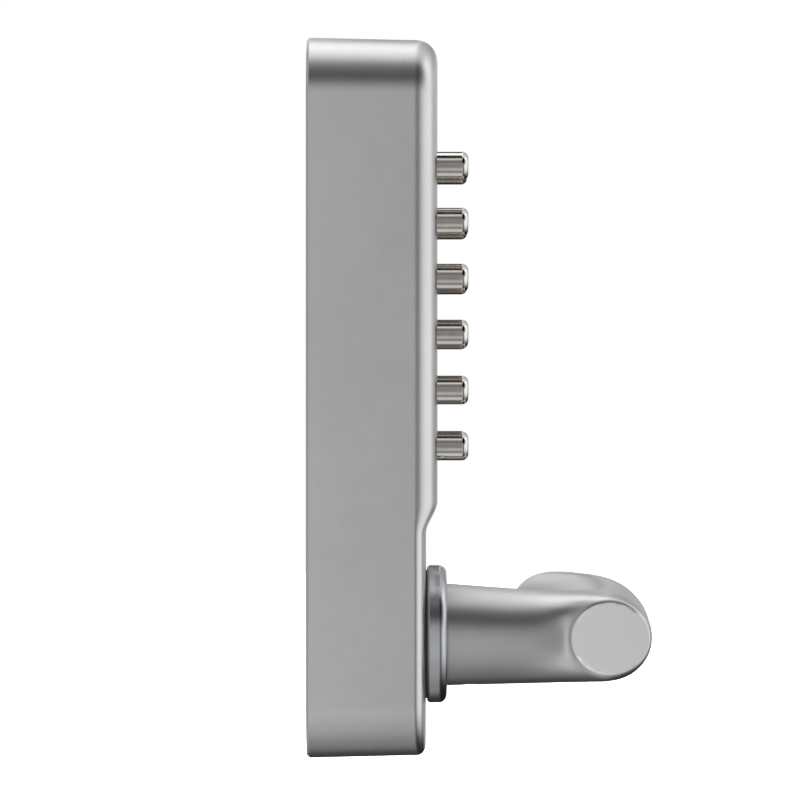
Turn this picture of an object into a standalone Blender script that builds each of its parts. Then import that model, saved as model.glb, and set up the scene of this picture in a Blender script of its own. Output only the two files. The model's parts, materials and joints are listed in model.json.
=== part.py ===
"""Outside unit of a mechanical push-button door lock, with its lever handle.

Lengths are in metres. Each piece is modelled in the lock's own axes: X to the right as one faces the door,
Y up and Z out of the door. One empty, door_frame, turns those axes to the world's, so the door's face is the
plane Y = 0 and the lock's front looks along -Y. A depth is a distance out from the door's face.
"""

import math
from collections import namedtuple

import bmesh
import bpy
from mathutils import Vector

QUARTER = math.pi / 2
TURN = 2 * math.pi

# Clearances
GAP = 0.0003
SLIDE_GAP = 0.00035
BORE_GAP = 0.0004
OVERRUN = 0.002
WELD = 0.000001

# Case
SIDE_MARGIN = 0.020
TOP_MARGIN = 0.0336
BASE_MARGIN = 0.0318
FRONT_WALL = 0.00355
SIDE_WALL = 0.0026
FOOT_STEP = 0.00305
STEP_HEIGHT = 0.0090
STEP_ABOVE_LEVER = 0.0269
CROWN_RADIUS = 0.370
CORNER_RADIUS = 0.0135
CORNER_REACH = 0.0155
CORNER_POWER = 2.0
EDGE_RADIUS = 0.0053
RIM_CHAMFER = 0.0007
DRAFT_SHARE = 0.0225

# Keypad
ROWS = 6
COLUMNS = 2
ROW_PITCH = 0.01484
COLUMN_PITCH = 0.018
LEVER_BELOW_ROWS = 0.0504
BUTTON_RADIUS = 0.00382
BUTTON_REACH = 0.00815
BUTTON_ROUND = 0.0017
COLLAR_RADIUS = 0.0051
COLLAR_THICK = 0.0015
STEM_RADIUS = 0.0020
TRAVEL = 0.0030
CATCH_RADIUS = 0.0015

# Button springs, drawn shut to the length that they have behind a pressed button
SPRING_RADIUS = 0.0033
SPRING_WIRE = 0.0006
SPRING_TURNS = 3
SPRING_PITCH = 0.00115

# Code works, in their order from the door
BACK_PLATE = 0.0015
TAIL_ROOM = 0.0007
TAIL_LENGTH = 0.0016
TUMBLER_PLATE = 0.0015
CODE_SLIDE = 0.0014
CODE_BLOCK = 0.0056
TUMBLER_NOSE = 0.0005
BLOCK_BOSS = 0.0037
HOLD_PLATE = 0.0008
GUIDE_PLATE = 0.0015
TUMBLER_WIDTH = 0.0040
TUMBLER_HEIGHT = 0.0060
NOTCH_DEPTH = 0.0018
SLIDE_LIFT = 0.0035
SLIDE_WEB = 0.0058
HOLD_LIFT = 0.0010
BLOCK_MARGIN = 0.0090
BLOCK_EDGE = 0.0020
PILLAR_RADIUS = 0.0032
BOSS_RADIUS = 0.0030

# Screws and fixing posts
SCREW_RADIUS = 0.0015
SCREW_HEAD_RADIUS = 0.0027
SCREW_HEAD = 0.0017
SCREW_GRIP = 0.0050
DRIVE_RADIUS = 0.0011
DRIVE_DEPTH = 0.0009
PLATE_SCREW_LENGTH = 0.0080
PLATE_SCREW_INSET = 0.0110
POST_RADIUS = 0.0045
POST_BORE = 0.0021
POST_BORE_DEPTH = 0.018
POST_INSET = 0.0115
POST_HOLE = 0.0028

# Lever works
CAM_REST = 0.0120
CAM_THICK = 0.0030
CAM_ARM = 0.0040
CAM_SEAT_RADIUS = 0.0080
CAM_FLAT = 0.0066
TAIL_RADIUS = 0.0070
JOURNAL_RADIUS = 0.0090
STUB_RADIUS = 0.0075
STUB_LENGTH = 0.018
BUSH_WALL = 0.0012
BUSH_FLANGE = 0.0006
BOSS_WALL = 0.0027
BOSS_REAR = 0.0130
SPINDLE_SQUARE = 0.0081
SPINDLE_DEPTH = 0.021
CLIP_THICK = 0.0010
CLIP_WIDTH = 0.0024
CLIP_GROOVE = 0.0008
CLIP_OPENING = 0.0050
FOOT_HEIGHT = 0.0040
TONGUE_WIDTH = 0.0120
LEG_LENGTH = 0.0140
LEG_WIDTH = 0.0076
LEG_SPACING = 0.0230
RETURN_RADIUS = 0.0022
RETURN_WIRE = 0.0007
RETURN_TURNS = 5
PEG_WIDTH = 0.0022
PEG_HEIGHT = 0.0022
HOLD_SPRING_RADIUS = 0.0014
HOLD_SPRING_WIRE = 0.0005
HOLD_SPRING_TURNS = 3
HOLD_SPRING_LENGTH = 0.0045
HOLD_EDGE = 0.0074
LIP = 0.0012

# Lever handle
ROSE_RADIUS = 0.01835
ROSE_THICK = 0.00525
ROSE_ROUND = 0.0022
ROSE_RIM = 0.0009
ROSE_RECESS = 0.0009
NECK_ROOT_RADIUS = 0.0139
NECK_TIP_RADIUS = 0.0123
NECK_DROP = 0.0008
GRIP_REACH = 0.0487
GRIP_BOW = 0.0021
GRIP_DROP = 0.0005
GRIP_HALF_DEPTH = 0.0118
GRIP_HALF_HEIGHT = 0.0119
NEAR_SHARE = 0.965
GRIP_END = 0.0126
END_HALF_DEPTH = 0.0103
END_HALF_HEIGHT = 0.0095
END_ROUND = 0.0011
BEND_START = 0.0770
BEND_RADIUS = 0.0500
BEND_ANGLE = math.radians(42)
GRUB_RADIUS = 0.0024
GRUB_LENGTH = 0.0050
GRUB_OFFSET = 0.0060

# Smoothness
ROUND_STEPS = 32
SMALL_STEPS = 16
INNER_STEPS = 12
EDGE_STEPS = 5
CURL_POINTS = 8

# Depths out from the door, each piece from the one behind it
TAIL_BACK = BACK_PLATE + TAIL_ROOM + TRAVEL
TUMBLER_PLATE_BACK = TAIL_BACK + TAIL_LENGTH
SLIDE_BACK = TUMBLER_PLATE_BACK + TUMBLER_PLATE + SLIDE_GAP
BLOCK_BACK = SLIDE_BACK + CODE_SLIDE + SLIDE_GAP
BLOCK_FRONT = BLOCK_BACK + CODE_BLOCK
TUMBLER_FRONT = BLOCK_FRONT + TUMBLER_NOSE
BOSS_FRONT = BLOCK_FRONT + BLOCK_BOSS
GUIDE_BACK = BOSS_FRONT + GAP
GUIDE_FRONT = GUIDE_BACK + GUIDE_PLATE
HOLD_FRONT = GUIDE_BACK - GAP
PILLAR_BACK = GUIDE_FRONT + GAP
SPRING_LENGTH = SPRING_TURNS * SPRING_PITCH + SPRING_WIRE
SPRING_BACK = GUIDE_FRONT + GAP
COLLAR_BACK = SPRING_BACK + SPRING_LENGTH + GAP + TRAVEL
COLLAR_FRONT = COLLAR_BACK + COLLAR_THICK
INNER_FRONT = COLLAR_FRONT + GAP
KEYPAD_DEPTH = INNER_FRONT + FRONT_WALL
FOOT_DEPTH = KEYPAD_DEPTH - FOOT_STEP
FOOT_INNER = INNER_FRONT - FOOT_STEP

# Heights and half widths, from the case's middle
LEVER_PLANE = (ROWS - 1) * ROW_PITCH + LEVER_BELOW_ROWS
CASE_HEIGHT = TOP_MARGIN + LEVER_PLANE + BASE_MARGIN
HALF_HEIGHT = CASE_HEIGHT / 2
HALF_WIDTH = (COLUMNS - 1) * COLUMN_PITCH / 2 + SIDE_MARGIN
TOP_ROW = HALF_HEIGHT - TOP_MARGIN
BOTTOM_ROW = TOP_ROW - (ROWS - 1) * ROW_PITCH
LEVER_HEIGHT = BOTTOM_ROW - LEVER_BELOW_ROWS
STEP_BOTTOM = LEVER_HEIGHT + STEP_ABOVE_LEVER
ROOM_HALF_WIDTH = HALF_WIDTH - SIDE_WALL - DRAFT_SHARE * KEYPAD_DEPTH
BLOCK_TOP = TOP_ROW + BLOCK_MARGIN
BLOCK_BOTTOM = BOTTOM_ROW - BLOCK_MARGIN
BLOCK_HALF_WIDTH = ROOM_HALF_WIDTH - BLOCK_EDGE / 2
STACK_X = BLOCK_HALF_WIDTH - PILLAR_RADIUS
STACK_ROWS = (BLOCK_TOP - PILLAR_RADIUS - BLOCK_EDGE / 2, BLOCK_BOTTOM + PILLAR_RADIUS)
SLIDE_HALF_WIDTH = (COLUMNS - 1) * COLUMN_PITCH / 2 + TUMBLER_WIDTH / 2 + SLIDE_WEB
SLIDE_MIDDLE = SLIDE_BACK + CODE_SLIDE / 2
FOOT_LOW = LEVER_HEIGHT + CAM_REST + GAP
FOOT_TOP = FOOT_LOW + FOOT_HEIGHT
LEG_LOW = BLOCK_BOTTOM - LEG_LENGTH

# Depths along the lever
FLANGE_BACK = FOOT_DEPTH - BUSH_FLANGE
ROSE_BACK = FOOT_DEPTH + GAP
ROSE_FRONT = ROSE_BACK + ROSE_THICK
GRIP_DEPTH = FOOT_DEPTH + GRIP_REACH
CAM_BACK = SLIDE_MIDDLE - CAM_THICK / 2
CAM_FRONT = CAM_BACK + CAM_THICK
HUB_BACK = BACK_PLATE / 2
BUSH_RADIUS = JOURNAL_RADIUS + BORE_GAP
BUSH_OUTER = BUSH_RADIUS + BUSH_WALL
BOSS_BORE = BUSH_OUTER + BORE_GAP
BOSS_OUTER = BOSS_BORE + BOSS_WALL
ROSE_BORE = NECK_ROOT_RADIUS + BORE_GAP
FLANGE_RADIUS = ROSE_RADIUS - ROSE_RIM - GAP
COLLAR_RING_FRONT = ROSE_BACK + ROSE_RECESS - GAP

# Where the lever's control rings stand, as shares of its lengths
GRIP_SHARES = (0.38, 0.70)
BOW_SHARE = 0.8
BEND_SHARES = (0.0, 0.5, 1.0)
TIP_SHARES = ((0.55, 0.86), (0.86, 0.44))
NECK_SHARES = (1.0, 0.45, 0.0)
NECK_JOIN_SHARE = 1.4

Finish = namedtuple("Finish", "name colour metallic roughness")
SATIN_ZINC = Finish("satin_zinc", (0.56, 0.56, 0.57), 0.85, 0.38)
ROSE_STEEL = Finish("rose_steel", (0.36, 0.37, 0.39), 0.95, 0.30)
CHROME = Finish("chrome", (0.80, 0.78, 0.76), 1.0, 0.08)
SPRING_STEEL = Finish("spring_steel", (0.45, 0.46, 0.48), 1.0, 0.30)
PLATED_STEEL = Finish("plated_steel", (0.66, 0.67, 0.66), 1.0, 0.33)
TUMBLER_BRASS = Finish("tumbler_brass", (0.71, 0.56, 0.28), 1.0, 0.30)
CAST_ZINC = Finish("cast_zinc", (0.48, 0.48, 0.49), 0.8, 0.50)
BLACK_NYLON = Finish("black_nylon", (0.02, 0.02, 0.022), 0.0, 0.50)
DARK_STEEL = Finish("dark_steel", (0.10, 0.10, 0.11), 0.9, 0.42)


def clear_objects():
    for obj in list(bpy.data.objects):
        bpy.data.objects.remove(obj)


def finish_material(finish):
    """The Blender material of a finish, made once."""
    made = bpy.data.materials.get(finish.name)
    if made:
        return made
    made = bpy.data.materials.new(finish.name)
    made.use_nodes = True
    shader = made.node_tree.nodes["Principled BSDF"]
    shader.inputs["Base Color"].default_value = (*finish.colour, 1.0)
    shader.inputs["Metallic"].default_value = finish.metallic
    shader.inputs["Roughness"].default_value = finish.roughness
    made.diffuse_color = (*finish.colour, 1.0)
    return made


def place(name, data, finish, location):
    """Links a piece under door_frame, at a point (x, height, depth) of the lock."""
    obj = bpy.data.objects.new(name, data)
    bpy.context.scene.collection.objects.link(obj)
    obj.parent = bpy.data.objects["door_frame"]
    obj.location = location
    if finish:
        data.materials.append(finish_material(finish))
    return obj


def mesh_from(name, form, sharp_angle=math.radians(40)):
    """A mesh from a bmesh, facing out, round faces smooth and corners sharp."""
    bmesh.ops.recalc_face_normals(form, faces=form.faces)
    mesh = bpy.data.meshes.new(name)
    form.to_mesh(mesh)
    form.free()
    mesh.shade_smooth()
    mesh.set_sharp_from_angle(angle=sharp_angle)
    return mesh


def cut(obj, tool, operation="DIFFERENCE"):
    """Adds an exact Boolean. The tool stays a wire guide."""
    tool.hide_render = True
    tool.display_type = "WIRE"
    step = obj.modifiers.new(tool.name, "BOOLEAN")
    step.operation = operation
    step.solver = "EXACT"
    step.object = tool
    return obj


def arc(centre_x, centre_y, radius, start, end, steps):
    """Points on an arc, both ends included."""
    angles = [start + (end - start) * i / steps for i in range(steps + 1)]
    return [(centre_x + radius * math.cos(a), centre_y + radius * math.sin(a)) for a in angles]


def rounded_box(left, right, low, high, radius, steps=4):
    """Outline of a rectangle with round corners."""
    points = arc(right - radius, high - radius, radius, 0, QUARTER, steps)
    points += arc(left + radius, high - radius, radius, QUARTER, 2 * QUARTER, steps)
    points += arc(left + radius, low + radius, radius, 2 * QUARTER, 3 * QUARTER, steps)
    points += arc(right - radius, low + radius, radius, 3 * QUARTER, TURN, steps)
    return points


def rectangle(left, right, low, high):
    return [(right, high), (left, high), (left, low), (right, low)]


def circle(x, y, radius, steps=SMALL_STEPS):
    return arc(x, y, radius, 0, TURN, steps)[:-1]


def sheet(name, outline, holes, back, thickness, finish):
    """A flat plate with holes: a filled 2D curve given its thickness, its sides welded to its faces."""
    curve = bpy.data.curves.new(name + "_outline", "CURVE")
    curve.dimensions = "2D"
    curve.fill_mode = "BOTH"
    curve.extrude = thickness / 2
    for ring in [outline, *holes]:
        spline = curve.splines.new("POLY")
        spline.points.add(len(ring) - 1)
        for point, (x, y) in zip(spline.points, ring):
            point.co = (x, y, 0, 1)
        spline.use_cyclic_u = True
    drawn = bpy.data.objects.new(name + "_outline", curve)
    form = bmesh.new()
    form.from_mesh(bpy.data.meshes.new_from_object(drawn))
    bmesh.ops.remove_doubles(form, verts=form.verts, dist=WELD)
    bpy.data.objects.remove(drawn)
    return place(name, mesh_from(name, form), finish, (0, 0, back + thickness / 2))


def loft(rings, closed=False):
    """Joins rings of equally many points with quads. Open lofts get flat ends."""
    form = bmesh.new()
    loops = [[form.verts.new(point) for point in ring] for ring in rings]
    pairs = list(zip(loops, loops[1:]))
    if closed:
        pairs.append((loops[-1], loops[0]))
    for one, other in pairs:
        count = len(one)
        for i in range(count):
            j = (i + 1) % count
            form.faces.new((one[i], one[j], other[j], other[i]))
    if not closed:
        form.faces.new(loops[0])
        form.faces.new(loops[-1])
    return form


def turned(name, profile, finish, location, steps=SMALL_STEPS, closed=False):
    """A lathe piece about the depth axis, from (radius, depth) points."""
    rings = []
    for radius, depth in profile:
        rings.append([Vector((x, y, depth)) for x, y in circle(0, 0, radius, steps)])
    return place(name, mesh_from(name, loft(rings, closed)), finish, location)


def block(name, left, right, low, high, back, front, finish=None):
    """A plain box, for guides and cuts."""
    rings = []
    for depth in (back, front):
        rings.append([Vector((x, y, depth)) for x, y in rectangle(left, right, low, high)])
    return place(name, mesh_from(name, loft(rings)), finish, (0, 0, 0))


def rods(name, centres, radius, back, front, steps=INNER_STEPS):
    """One guide made of parallel round rods."""
    form = bmesh.new()
    for x, y in centres:
        loops = []
        for depth in (back, front):
            loops.append([form.verts.new((*point, depth)) for point in circle(x, y, radius, steps)])
        for i in range(steps):
            j = (i + 1) % steps
            form.faces.new((loops[0][i], loops[0][j], loops[1][j], loops[1][i]))
        form.faces.new(loops[0])
        form.faces.new(loops[1])
    return place(name, mesh_from(name, form), None, (0, 0, 0))


def least_self_gap(points, wire, curl_points):
    """The least gap between two turns of a coil, taken on its points."""
    reach = 3 * curl_points // 4
    least = min(
        (points[i] - points[j]).length
        for i in range(len(points))
        for j in range(i + reach, len(points))
    )
    return least - wire


def coil(name, location, radius, wire, turns, length, axis, finish=SPRING_STEEL):
    """A compression spring as one wire, along +Y (up) or +Z (out of the door) from its location."""
    rise = length - wire
    points = []
    for i in range(turns * CURL_POINTS + 1):
        angle = TURN * i / CURL_POINTS
        along = wire / 2 + rise * i / (turns * CURL_POINTS)
        side = (radius * math.cos(angle), radius * math.sin(angle))
        if axis == "Z":
            points.append(Vector((side[0], side[1], along)))
        else:
            points.append(Vector((side[1], along, side[0])))
    curve = bpy.data.curves.new(name, "CURVE")
    curve.dimensions = "3D"
    curve.bevel_depth = wire / 2
    curve.bevel_resolution = 1
    curve.use_fill_caps = True
    spline = curve.splines.new("POLY")
    spline.points.add(len(points) - 1)
    for point, spot in zip(spline.points, points):
        point.co = (*spot, 1)
    print(f"{name}: least gap between turns {1000 * least_self_gap(points, wire, CURL_POINTS):.2f} mm")
    return place(name, curve, finish, location)


def key_places():
    """Number and (x, height) of each button, down the left column and then the right."""
    places = []
    for column in range(COLUMNS):
        x = (column - (COLUMNS - 1) / 2) * COLUMN_PITCH
        for row in range(ROWS):
            places.append((column * ROWS + row + 1, x, TOP_ROW - row * ROW_PITCH))
    return places


def stack_places():
    return [(side * STACK_X, height) for height in STACK_ROWS for side in (-1, 1)]


def plate_screw_places():
    x = HALF_WIDTH - PLATE_SCREW_INSET - SIDE_WALL
    y = HALF_HEIGHT - PLATE_SCREW_INSET
    return [(x, y), (-x, -y)]


def post_places():
    y = HALF_HEIGHT - POST_INSET
    return [(0, y), (0, -y)]


def soft_corner(reach, power, steps):
    """A corner's (along, across) points, evenly turned, from its end ahead to its end at the side."""
    points = []
    for i in range(steps + 1):
        turn = QUARTER * i / steps
        ahead = math.cos(turn) ** (1 / (power - 1))
        aside = math.sin(turn) ** (1 / (power - 1))
        size = reach / (ahead ** power + aside ** power) ** (1 / power)
        points.append((ahead * size, aside * size))
    return points


def case_rows(half_width, half_height, corner, power, inset, steps, stations):
    """(height, half width) of each row of a rectangle with soft corners, top to bottom.

    The inset is a function of the height.
    """
    rows = []
    for side in (1, -1):
        reach = corner - inset(side * (half_height - corner))
        ends = soft_corner(reach, power, steps)
        middle = half_height - corner
        arcs = [(side * (middle + ahead), half_width - corner + aside) for ahead, aside in ends]
        rows.append(arcs)
    sides = [(height, half_width - inset(height)) for height in stations]
    return rows[0] + sides + rows[1][::-1]


def moulded(name, half_width, half_height, corner, power, edge, back, face, steps, edge_steps, columns, stations,
            lip):
    """A drafted box with soft corners and a front surface face(x, height), met through a round edge.

    Levels of one outline, each inset a little more, run from the back rim up the draft and round the edge.
    The round edge starts at one depth all the way round, so it is narrower where the face is set back.
    """
    shares = [2 * i / columns - 1 for i in range(columns + 1)]
    form = bmesh.new()
    deep = max(face(0, height) for height in (half_height - corner, corner - half_height))
    draft = DRAFT_SHARE * (deep - edge)

    def edge_at(height):
        return edge - (deep - face(0, height))

    def level(inset, drop_share, depth=None):
        rows = case_rows(half_width, half_height, corner, power, inset, steps, stations)
        middle = half_width - corner
        grid = []
        for height, half in rows:
            inner = [middle * share for share in shares[1:-1]]
            points = [-half, *inner, half]
            drop = drop_share * edge_at(height)
            grid.append([(x, height, face(x, height) - drop if depth is None else depth) for x in points])
        return grid

    levels = []
    if lip:
        levels.append(level(lambda height: lip, 0, back))
        levels.append(level(lambda height: 0, 0, back + lip))
    else:
        levels.append(level(lambda height: 0, 0, back))
    for i in range(edge_steps + 1):
        angle = QUARTER * i / edge_steps
        part = 1 - math.cos(angle)
        levels.append(level(lambda height: draft + edge_at(height) * part, 1 - math.sin(angle)))

    last_row = len(levels[0]) - 1
    ring = [(0, j) for j in range(columns + 1)]
    ring += [(i, columns) for i in range(1, last_row)]
    ring += [(last_row, j) for j in reversed(range(columns + 1))]
    ring += [(i, 0) for i in reversed(range(1, last_row))]
    loops = [[form.verts.new(grid[i][j]) for i, j in ring] for grid in levels]
    for one, other in zip(loops, loops[1:]):
        for i in range(len(ring)):
            j = (i + 1) % len(ring)
            form.faces.new((one[i], one[j], other[j], other[i]))
    form.faces.new(loops[0])

    front = dict(zip(ring, loops[-1]))
    for i in range(1, last_row):
        for j in range(1, columns):
            front[i, j] = form.verts.new(levels[-1][i][j])
    for i in range(last_row):
        for j in range(columns):
            form.faces.new((front[i, j], front[i, j + 1], front[i + 1, j + 1], front[i + 1, j]))
    return place(name, mesh_from(name, form), None, (0, 0, 0))


def crowned(x, depth):
    return depth - x * x / (2 * CROWN_RADIUS)


def step_blend(height, low, high):
    """The depth at a height: low below the step, high above it, a soft S between."""
    share = min(max((height - STEP_BOTTOM) / STEP_HEIGHT, 0), 1)
    return low + (high - low) * (1 - math.cos(math.pi * share)) / 2


def step_stations(count):
    """Heights down the step, its two ends included."""
    return [STEP_BOTTOM + STEP_HEIGHT * (count - i) / count for i in range(count + 1)]


def case_room():
    """The case's hollow, with its pillars, posts and bearing boss left standing in it."""
    room = moulded(
        "case_room",
        HALF_WIDTH - SIDE_WALL,
        HALF_HEIGHT - SIDE_WALL,
        CORNER_RADIUS - SIDE_WALL,
        2,
        EDGE_RADIUS - SIDE_WALL + GAP,
        -OVERRUN,
        lambda x, height: step_blend(height, FOOT_INNER, INNER_FRONT),
        steps=4,
        edge_steps=2,
        columns=1,
        stations=step_stations(4),
        lip=0,
    )
    front = KEYPAD_DEPTH + OVERRUN
    cut(room, rods("pillar_form", stack_places(), PILLAR_RADIUS, PILLAR_BACK, front))
    cut(room, rods("plate_pillar_form", plate_screw_places(), PILLAR_RADIUS, BACK_PLATE + GAP, front))
    cut(room, rods("post_form", post_places(), POST_RADIUS, BACK_PLATE + GAP, front))
    lever = [(0, LEVER_HEIGHT)]
    cut(room, rods("boss_form", lever, BOSS_OUTER, BOSS_REAR, front, ROUND_STEPS))
    return room


def front_case():
    case = moulded(
        "front_case",
        HALF_WIDTH,
        HALF_HEIGHT,
        CORNER_REACH,
        CORNER_POWER,
        EDGE_RADIUS,
        0.0,
        lambda x, height: crowned(x, step_blend(height, FOOT_DEPTH, KEYPAD_DEPTH)),
        steps=8,
        edge_steps=EDGE_STEPS,
        columns=6,
        stations=step_stations(10),
        lip=RIM_CHAMFER,
    )
    case.data.materials.append(finish_material(SATIN_ZINC))
    cut(case, case_room())
    front = KEYPAD_DEPTH + OVERRUN
    keys = [(x, height) for _, x, height in key_places()]
    cut(case, rods("button_holes", keys, BUTTON_RADIUS + SLIDE_GAP, COLLAR_BACK, front, SMALL_STEPS))
    lever = [(0, LEVER_HEIGHT)]
    cut(case, rods("bush_bore", lever, BOSS_BORE, BOSS_REAR - OVERRUN, front, ROUND_STEPS))
    seat = rods("bush_seat", lever, FLANGE_RADIUS + GAP, FLANGE_BACK - GAP, front, ROUND_STEPS)
    cut(case, seat)
    grip = PILLAR_BACK + SCREW_GRIP + GAP
    cut(case, rods("stack_bores", stack_places(), SCREW_RADIUS + GAP, PILLAR_BACK - OVERRUN, grip))
    grip = PLATE_SCREW_LENGTH + OVERRUN
    cut(case, rods("plate_bores", plate_screw_places(), SCREW_RADIUS + GAP, BACK_PLATE - OVERRUN, grip))
    cut(case, rods("post_bores", post_places(), POST_BORE, BACK_PLATE - OVERRUN, POST_BORE_DEPTH))
    return case


def push_buttons():
    tip = KEYPAD_DEPTH + BUTTON_REACH
    catch_back = HOLD_FRONT - HOLD_PLATE - GAP + TRAVEL
    stem_back = TUMBLER_FRONT + GAP
    crown = arc(BUTTON_RADIUS - BUTTON_ROUND, tip - BUTTON_ROUND, BUTTON_ROUND, 0, QUARTER, 3)
    profile = [
        (STEM_RADIUS, stem_back),
        (STEM_RADIUS, catch_back),
        (CATCH_RADIUS, catch_back),
        (CATCH_RADIUS, COLLAR_BACK),
        (COLLAR_RADIUS, COLLAR_BACK),
        (COLLAR_RADIUS, COLLAR_FRONT),
        (BUTTON_RADIUS, COLLAR_FRONT),
        *crown,
    ]
    centred = [(radius, depth - KEYPAD_DEPTH) for radius, depth in profile]
    for number, x, height in key_places():
        turned(f"button_{number:02d}", centred, CHROME, (x, height, KEYPAD_DEPTH))


def button_springs():
    for number, x, height in key_places():
        coil(
            f"button_spring_{number:02d}",
            (x, height, SPRING_BACK),
            SPRING_RADIUS,
            SPRING_WIRE,
            SPRING_TURNS,
            SPRING_LENGTH,
            "Z",
        )


def code_tumblers():
    """Flat bars with a notch below, long enough for the slide's web with the button out or in."""
    half = TUMBLER_HEIGHT / 2
    notch_back = SLIDE_BACK - SLIDE_GAP
    notch_front = SLIDE_BACK + CODE_SLIDE + SLIDE_GAP + TRAVEL
    outline = [
        (half, TAIL_BACK),
        (half, TUMBLER_FRONT),
        (-half, TUMBLER_FRONT),
        (-half, notch_front),
        (NOTCH_DEPTH - half, notch_front),
        (NOTCH_DEPTH - half, notch_back),
        (-half, notch_back),
        (-half, TAIL_BACK),
    ]
    for number, x, height in key_places():
        rings = []
        for side in (-1, 1):
            rings.append([Vector((side * TUMBLER_WIDTH / 2, y, z)) for y, z in outline])
        name = f"code_tumbler_{number:02d}"
        place(name, mesh_from(name, loft(rings)), TUMBLER_BRASS, (x, height, 0))


def tumbler_windows(gap):
    """The tumblers' slots through a plate, and room for a stem behind a pressed button."""
    half_x = TUMBLER_WIDTH / 2 + gap
    half_y = TUMBLER_HEIGHT / 2 + gap
    return [rectangle(x - half_x, x + half_x, y - half_y, y + half_y) for _, x, y in key_places()]


def screw_holes():
    return [circle(x, y, SCREW_RADIUS + GAP, INNER_STEPS) for x, y in stack_places()]


def guide_plate():
    """Carries the springs and guides the stems. Its lip at the top holds the latch plate's spring."""
    stems = [circle(x, y, STEM_RADIUS + SLIDE_GAP, INNER_STEPS) for _, x, y in key_places()]
    spring_low = TOP_ROW + HOLD_EDGE - GAP
    lip_low = TOP_ROW + HOLD_EDGE + HOLD_SPRING_LENGTH + 2 * GAP
    half = HOLD_SPRING_RADIUS + HOLD_SPRING_WIRE
    top = lip_low + LIP
    outline = rounded_box(-BLOCK_HALF_WIDTH, BLOCK_HALF_WIDTH, BLOCK_BOTTOM, top, BLOCK_EDGE, 2)
    window = rectangle(-half, half, spring_low, lip_low)
    holes = [*stems, *screw_holes(), window]
    plate = sheet("guide_plate_blank", outline, holes, GUIDE_BACK, GUIDE_PLATE, None)
    lip = block("guide_plate", -half, half, lip_low, top, HOLD_FRONT - HOLD_PLATE - LIP, GUIDE_BACK + GAP)
    lip.data.materials.append(finish_material(PLATED_STEEL))
    return cut(lip, plate, "UNION")


def hold_plate():
    """Latch plate: its window edges lie just above the stems, and it lifts clear of their catches."""
    reach = STEM_RADIUS + GAP
    windows = []
    for _, x, y in key_places():
        windows.append(rectangle(x - reach, x + reach, y - reach - HOLD_LIFT, y + reach))
    half = (COLUMNS - 1) * COLUMN_PITCH / 2 + COLLAR_RADIUS
    low = BOTTOM_ROW - HOLD_EDGE
    high = TOP_ROW + HOLD_EDGE
    outline = rounded_box(-half, half, low, high, BLOCK_EDGE, 2)
    sheet("hold_plate", outline, windows, HOLD_FRONT - HOLD_PLATE, HOLD_PLATE, PLATED_STEEL)


def hold_spring():
    location = (0, TOP_ROW + HOLD_EDGE + GAP, HOLD_FRONT - HOLD_PLATE / 2)
    coil(
        "hold_spring",
        location,
        HOLD_SPRING_RADIUS,
        HOLD_SPRING_WIRE,
        HOLD_SPRING_TURNS,
        HOLD_SPRING_LENGTH,
        "Y",
    )


def leg_places():
    return [side * LEG_SPACING / 2 for side in (-1, 1)]


def code_block():
    """Die-cast block with the tumblers' channels, side rails for the slide, bosses and two spring legs."""
    outline = [
        (BLOCK_HALF_WIDTH, BLOCK_TOP),
        (-BLOCK_HALF_WIDTH, BLOCK_TOP),
        (-BLOCK_HALF_WIDTH, BLOCK_BOTTOM),
        (BLOCK_HALF_WIDTH, BLOCK_BOTTOM),
    ]
    body = sheet("code_block_body", outline, tumbler_windows(SLIDE_GAP), BLOCK_BACK, CODE_BLOCK, None)
    rail_inner = SLIDE_HALF_WIDTH + SLIDE_GAP
    rail_back = TUMBLER_PLATE_BACK + TUMBLER_PLATE + GAP
    made = block(
        "code_block",
        -BLOCK_HALF_WIDTH,
        -rail_inner,
        BLOCK_BOTTOM,
        BLOCK_TOP,
        rail_back,
        BLOCK_BACK + CODE_BLOCK / 2,
    )
    made.data.materials.append(finish_material(CAST_ZINC))
    other = block(
        "code_block_rail",
        rail_inner,
        BLOCK_HALF_WIDTH,
        BLOCK_BOTTOM,
        BLOCK_TOP,
        rail_back,
        BLOCK_BACK + CODE_BLOCK / 2,
    )
    cut(made, body, "UNION")
    cut(made, other, "UNION")
    bosses = rods("code_block_bosses", stack_places(), BOSS_RADIUS, BLOCK_FRONT - OVERRUN, BOSS_FRONT)
    cut(made, bosses, "UNION")
    for number, x in enumerate(leg_places()):
        leg = block(
            f"code_block_leg_{number}",
            x - LEG_WIDTH / 2,
            x + LEG_WIDTH / 2,
            LEG_LOW,
            BLOCK_BOTTOM + OVERRUN,
            BLOCK_BACK + GAP,
            BLOCK_FRONT - GAP,
        )
        cut(made, leg, "UNION")
        shelf = block(
            f"code_block_shelf_{number}",
            x - LEG_WIDTH / 2,
            x + LEG_WIDTH / 2,
            LEG_LOW,
            LEG_LOW + BLOCK_EDGE,
            SLIDE_MIDDLE - RETURN_RADIUS - RETURN_WIRE,
            BLOCK_FRONT - BLOCK_EDGE,
        )
        cut(made, shelf, "UNION")
    far_side = BOSS_FRONT + OVERRUN
    cut(made, rods("code_block_bores", stack_places(), SCREW_RADIUS + GAP, rail_back - OVERRUN, far_side))
    return made


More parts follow.
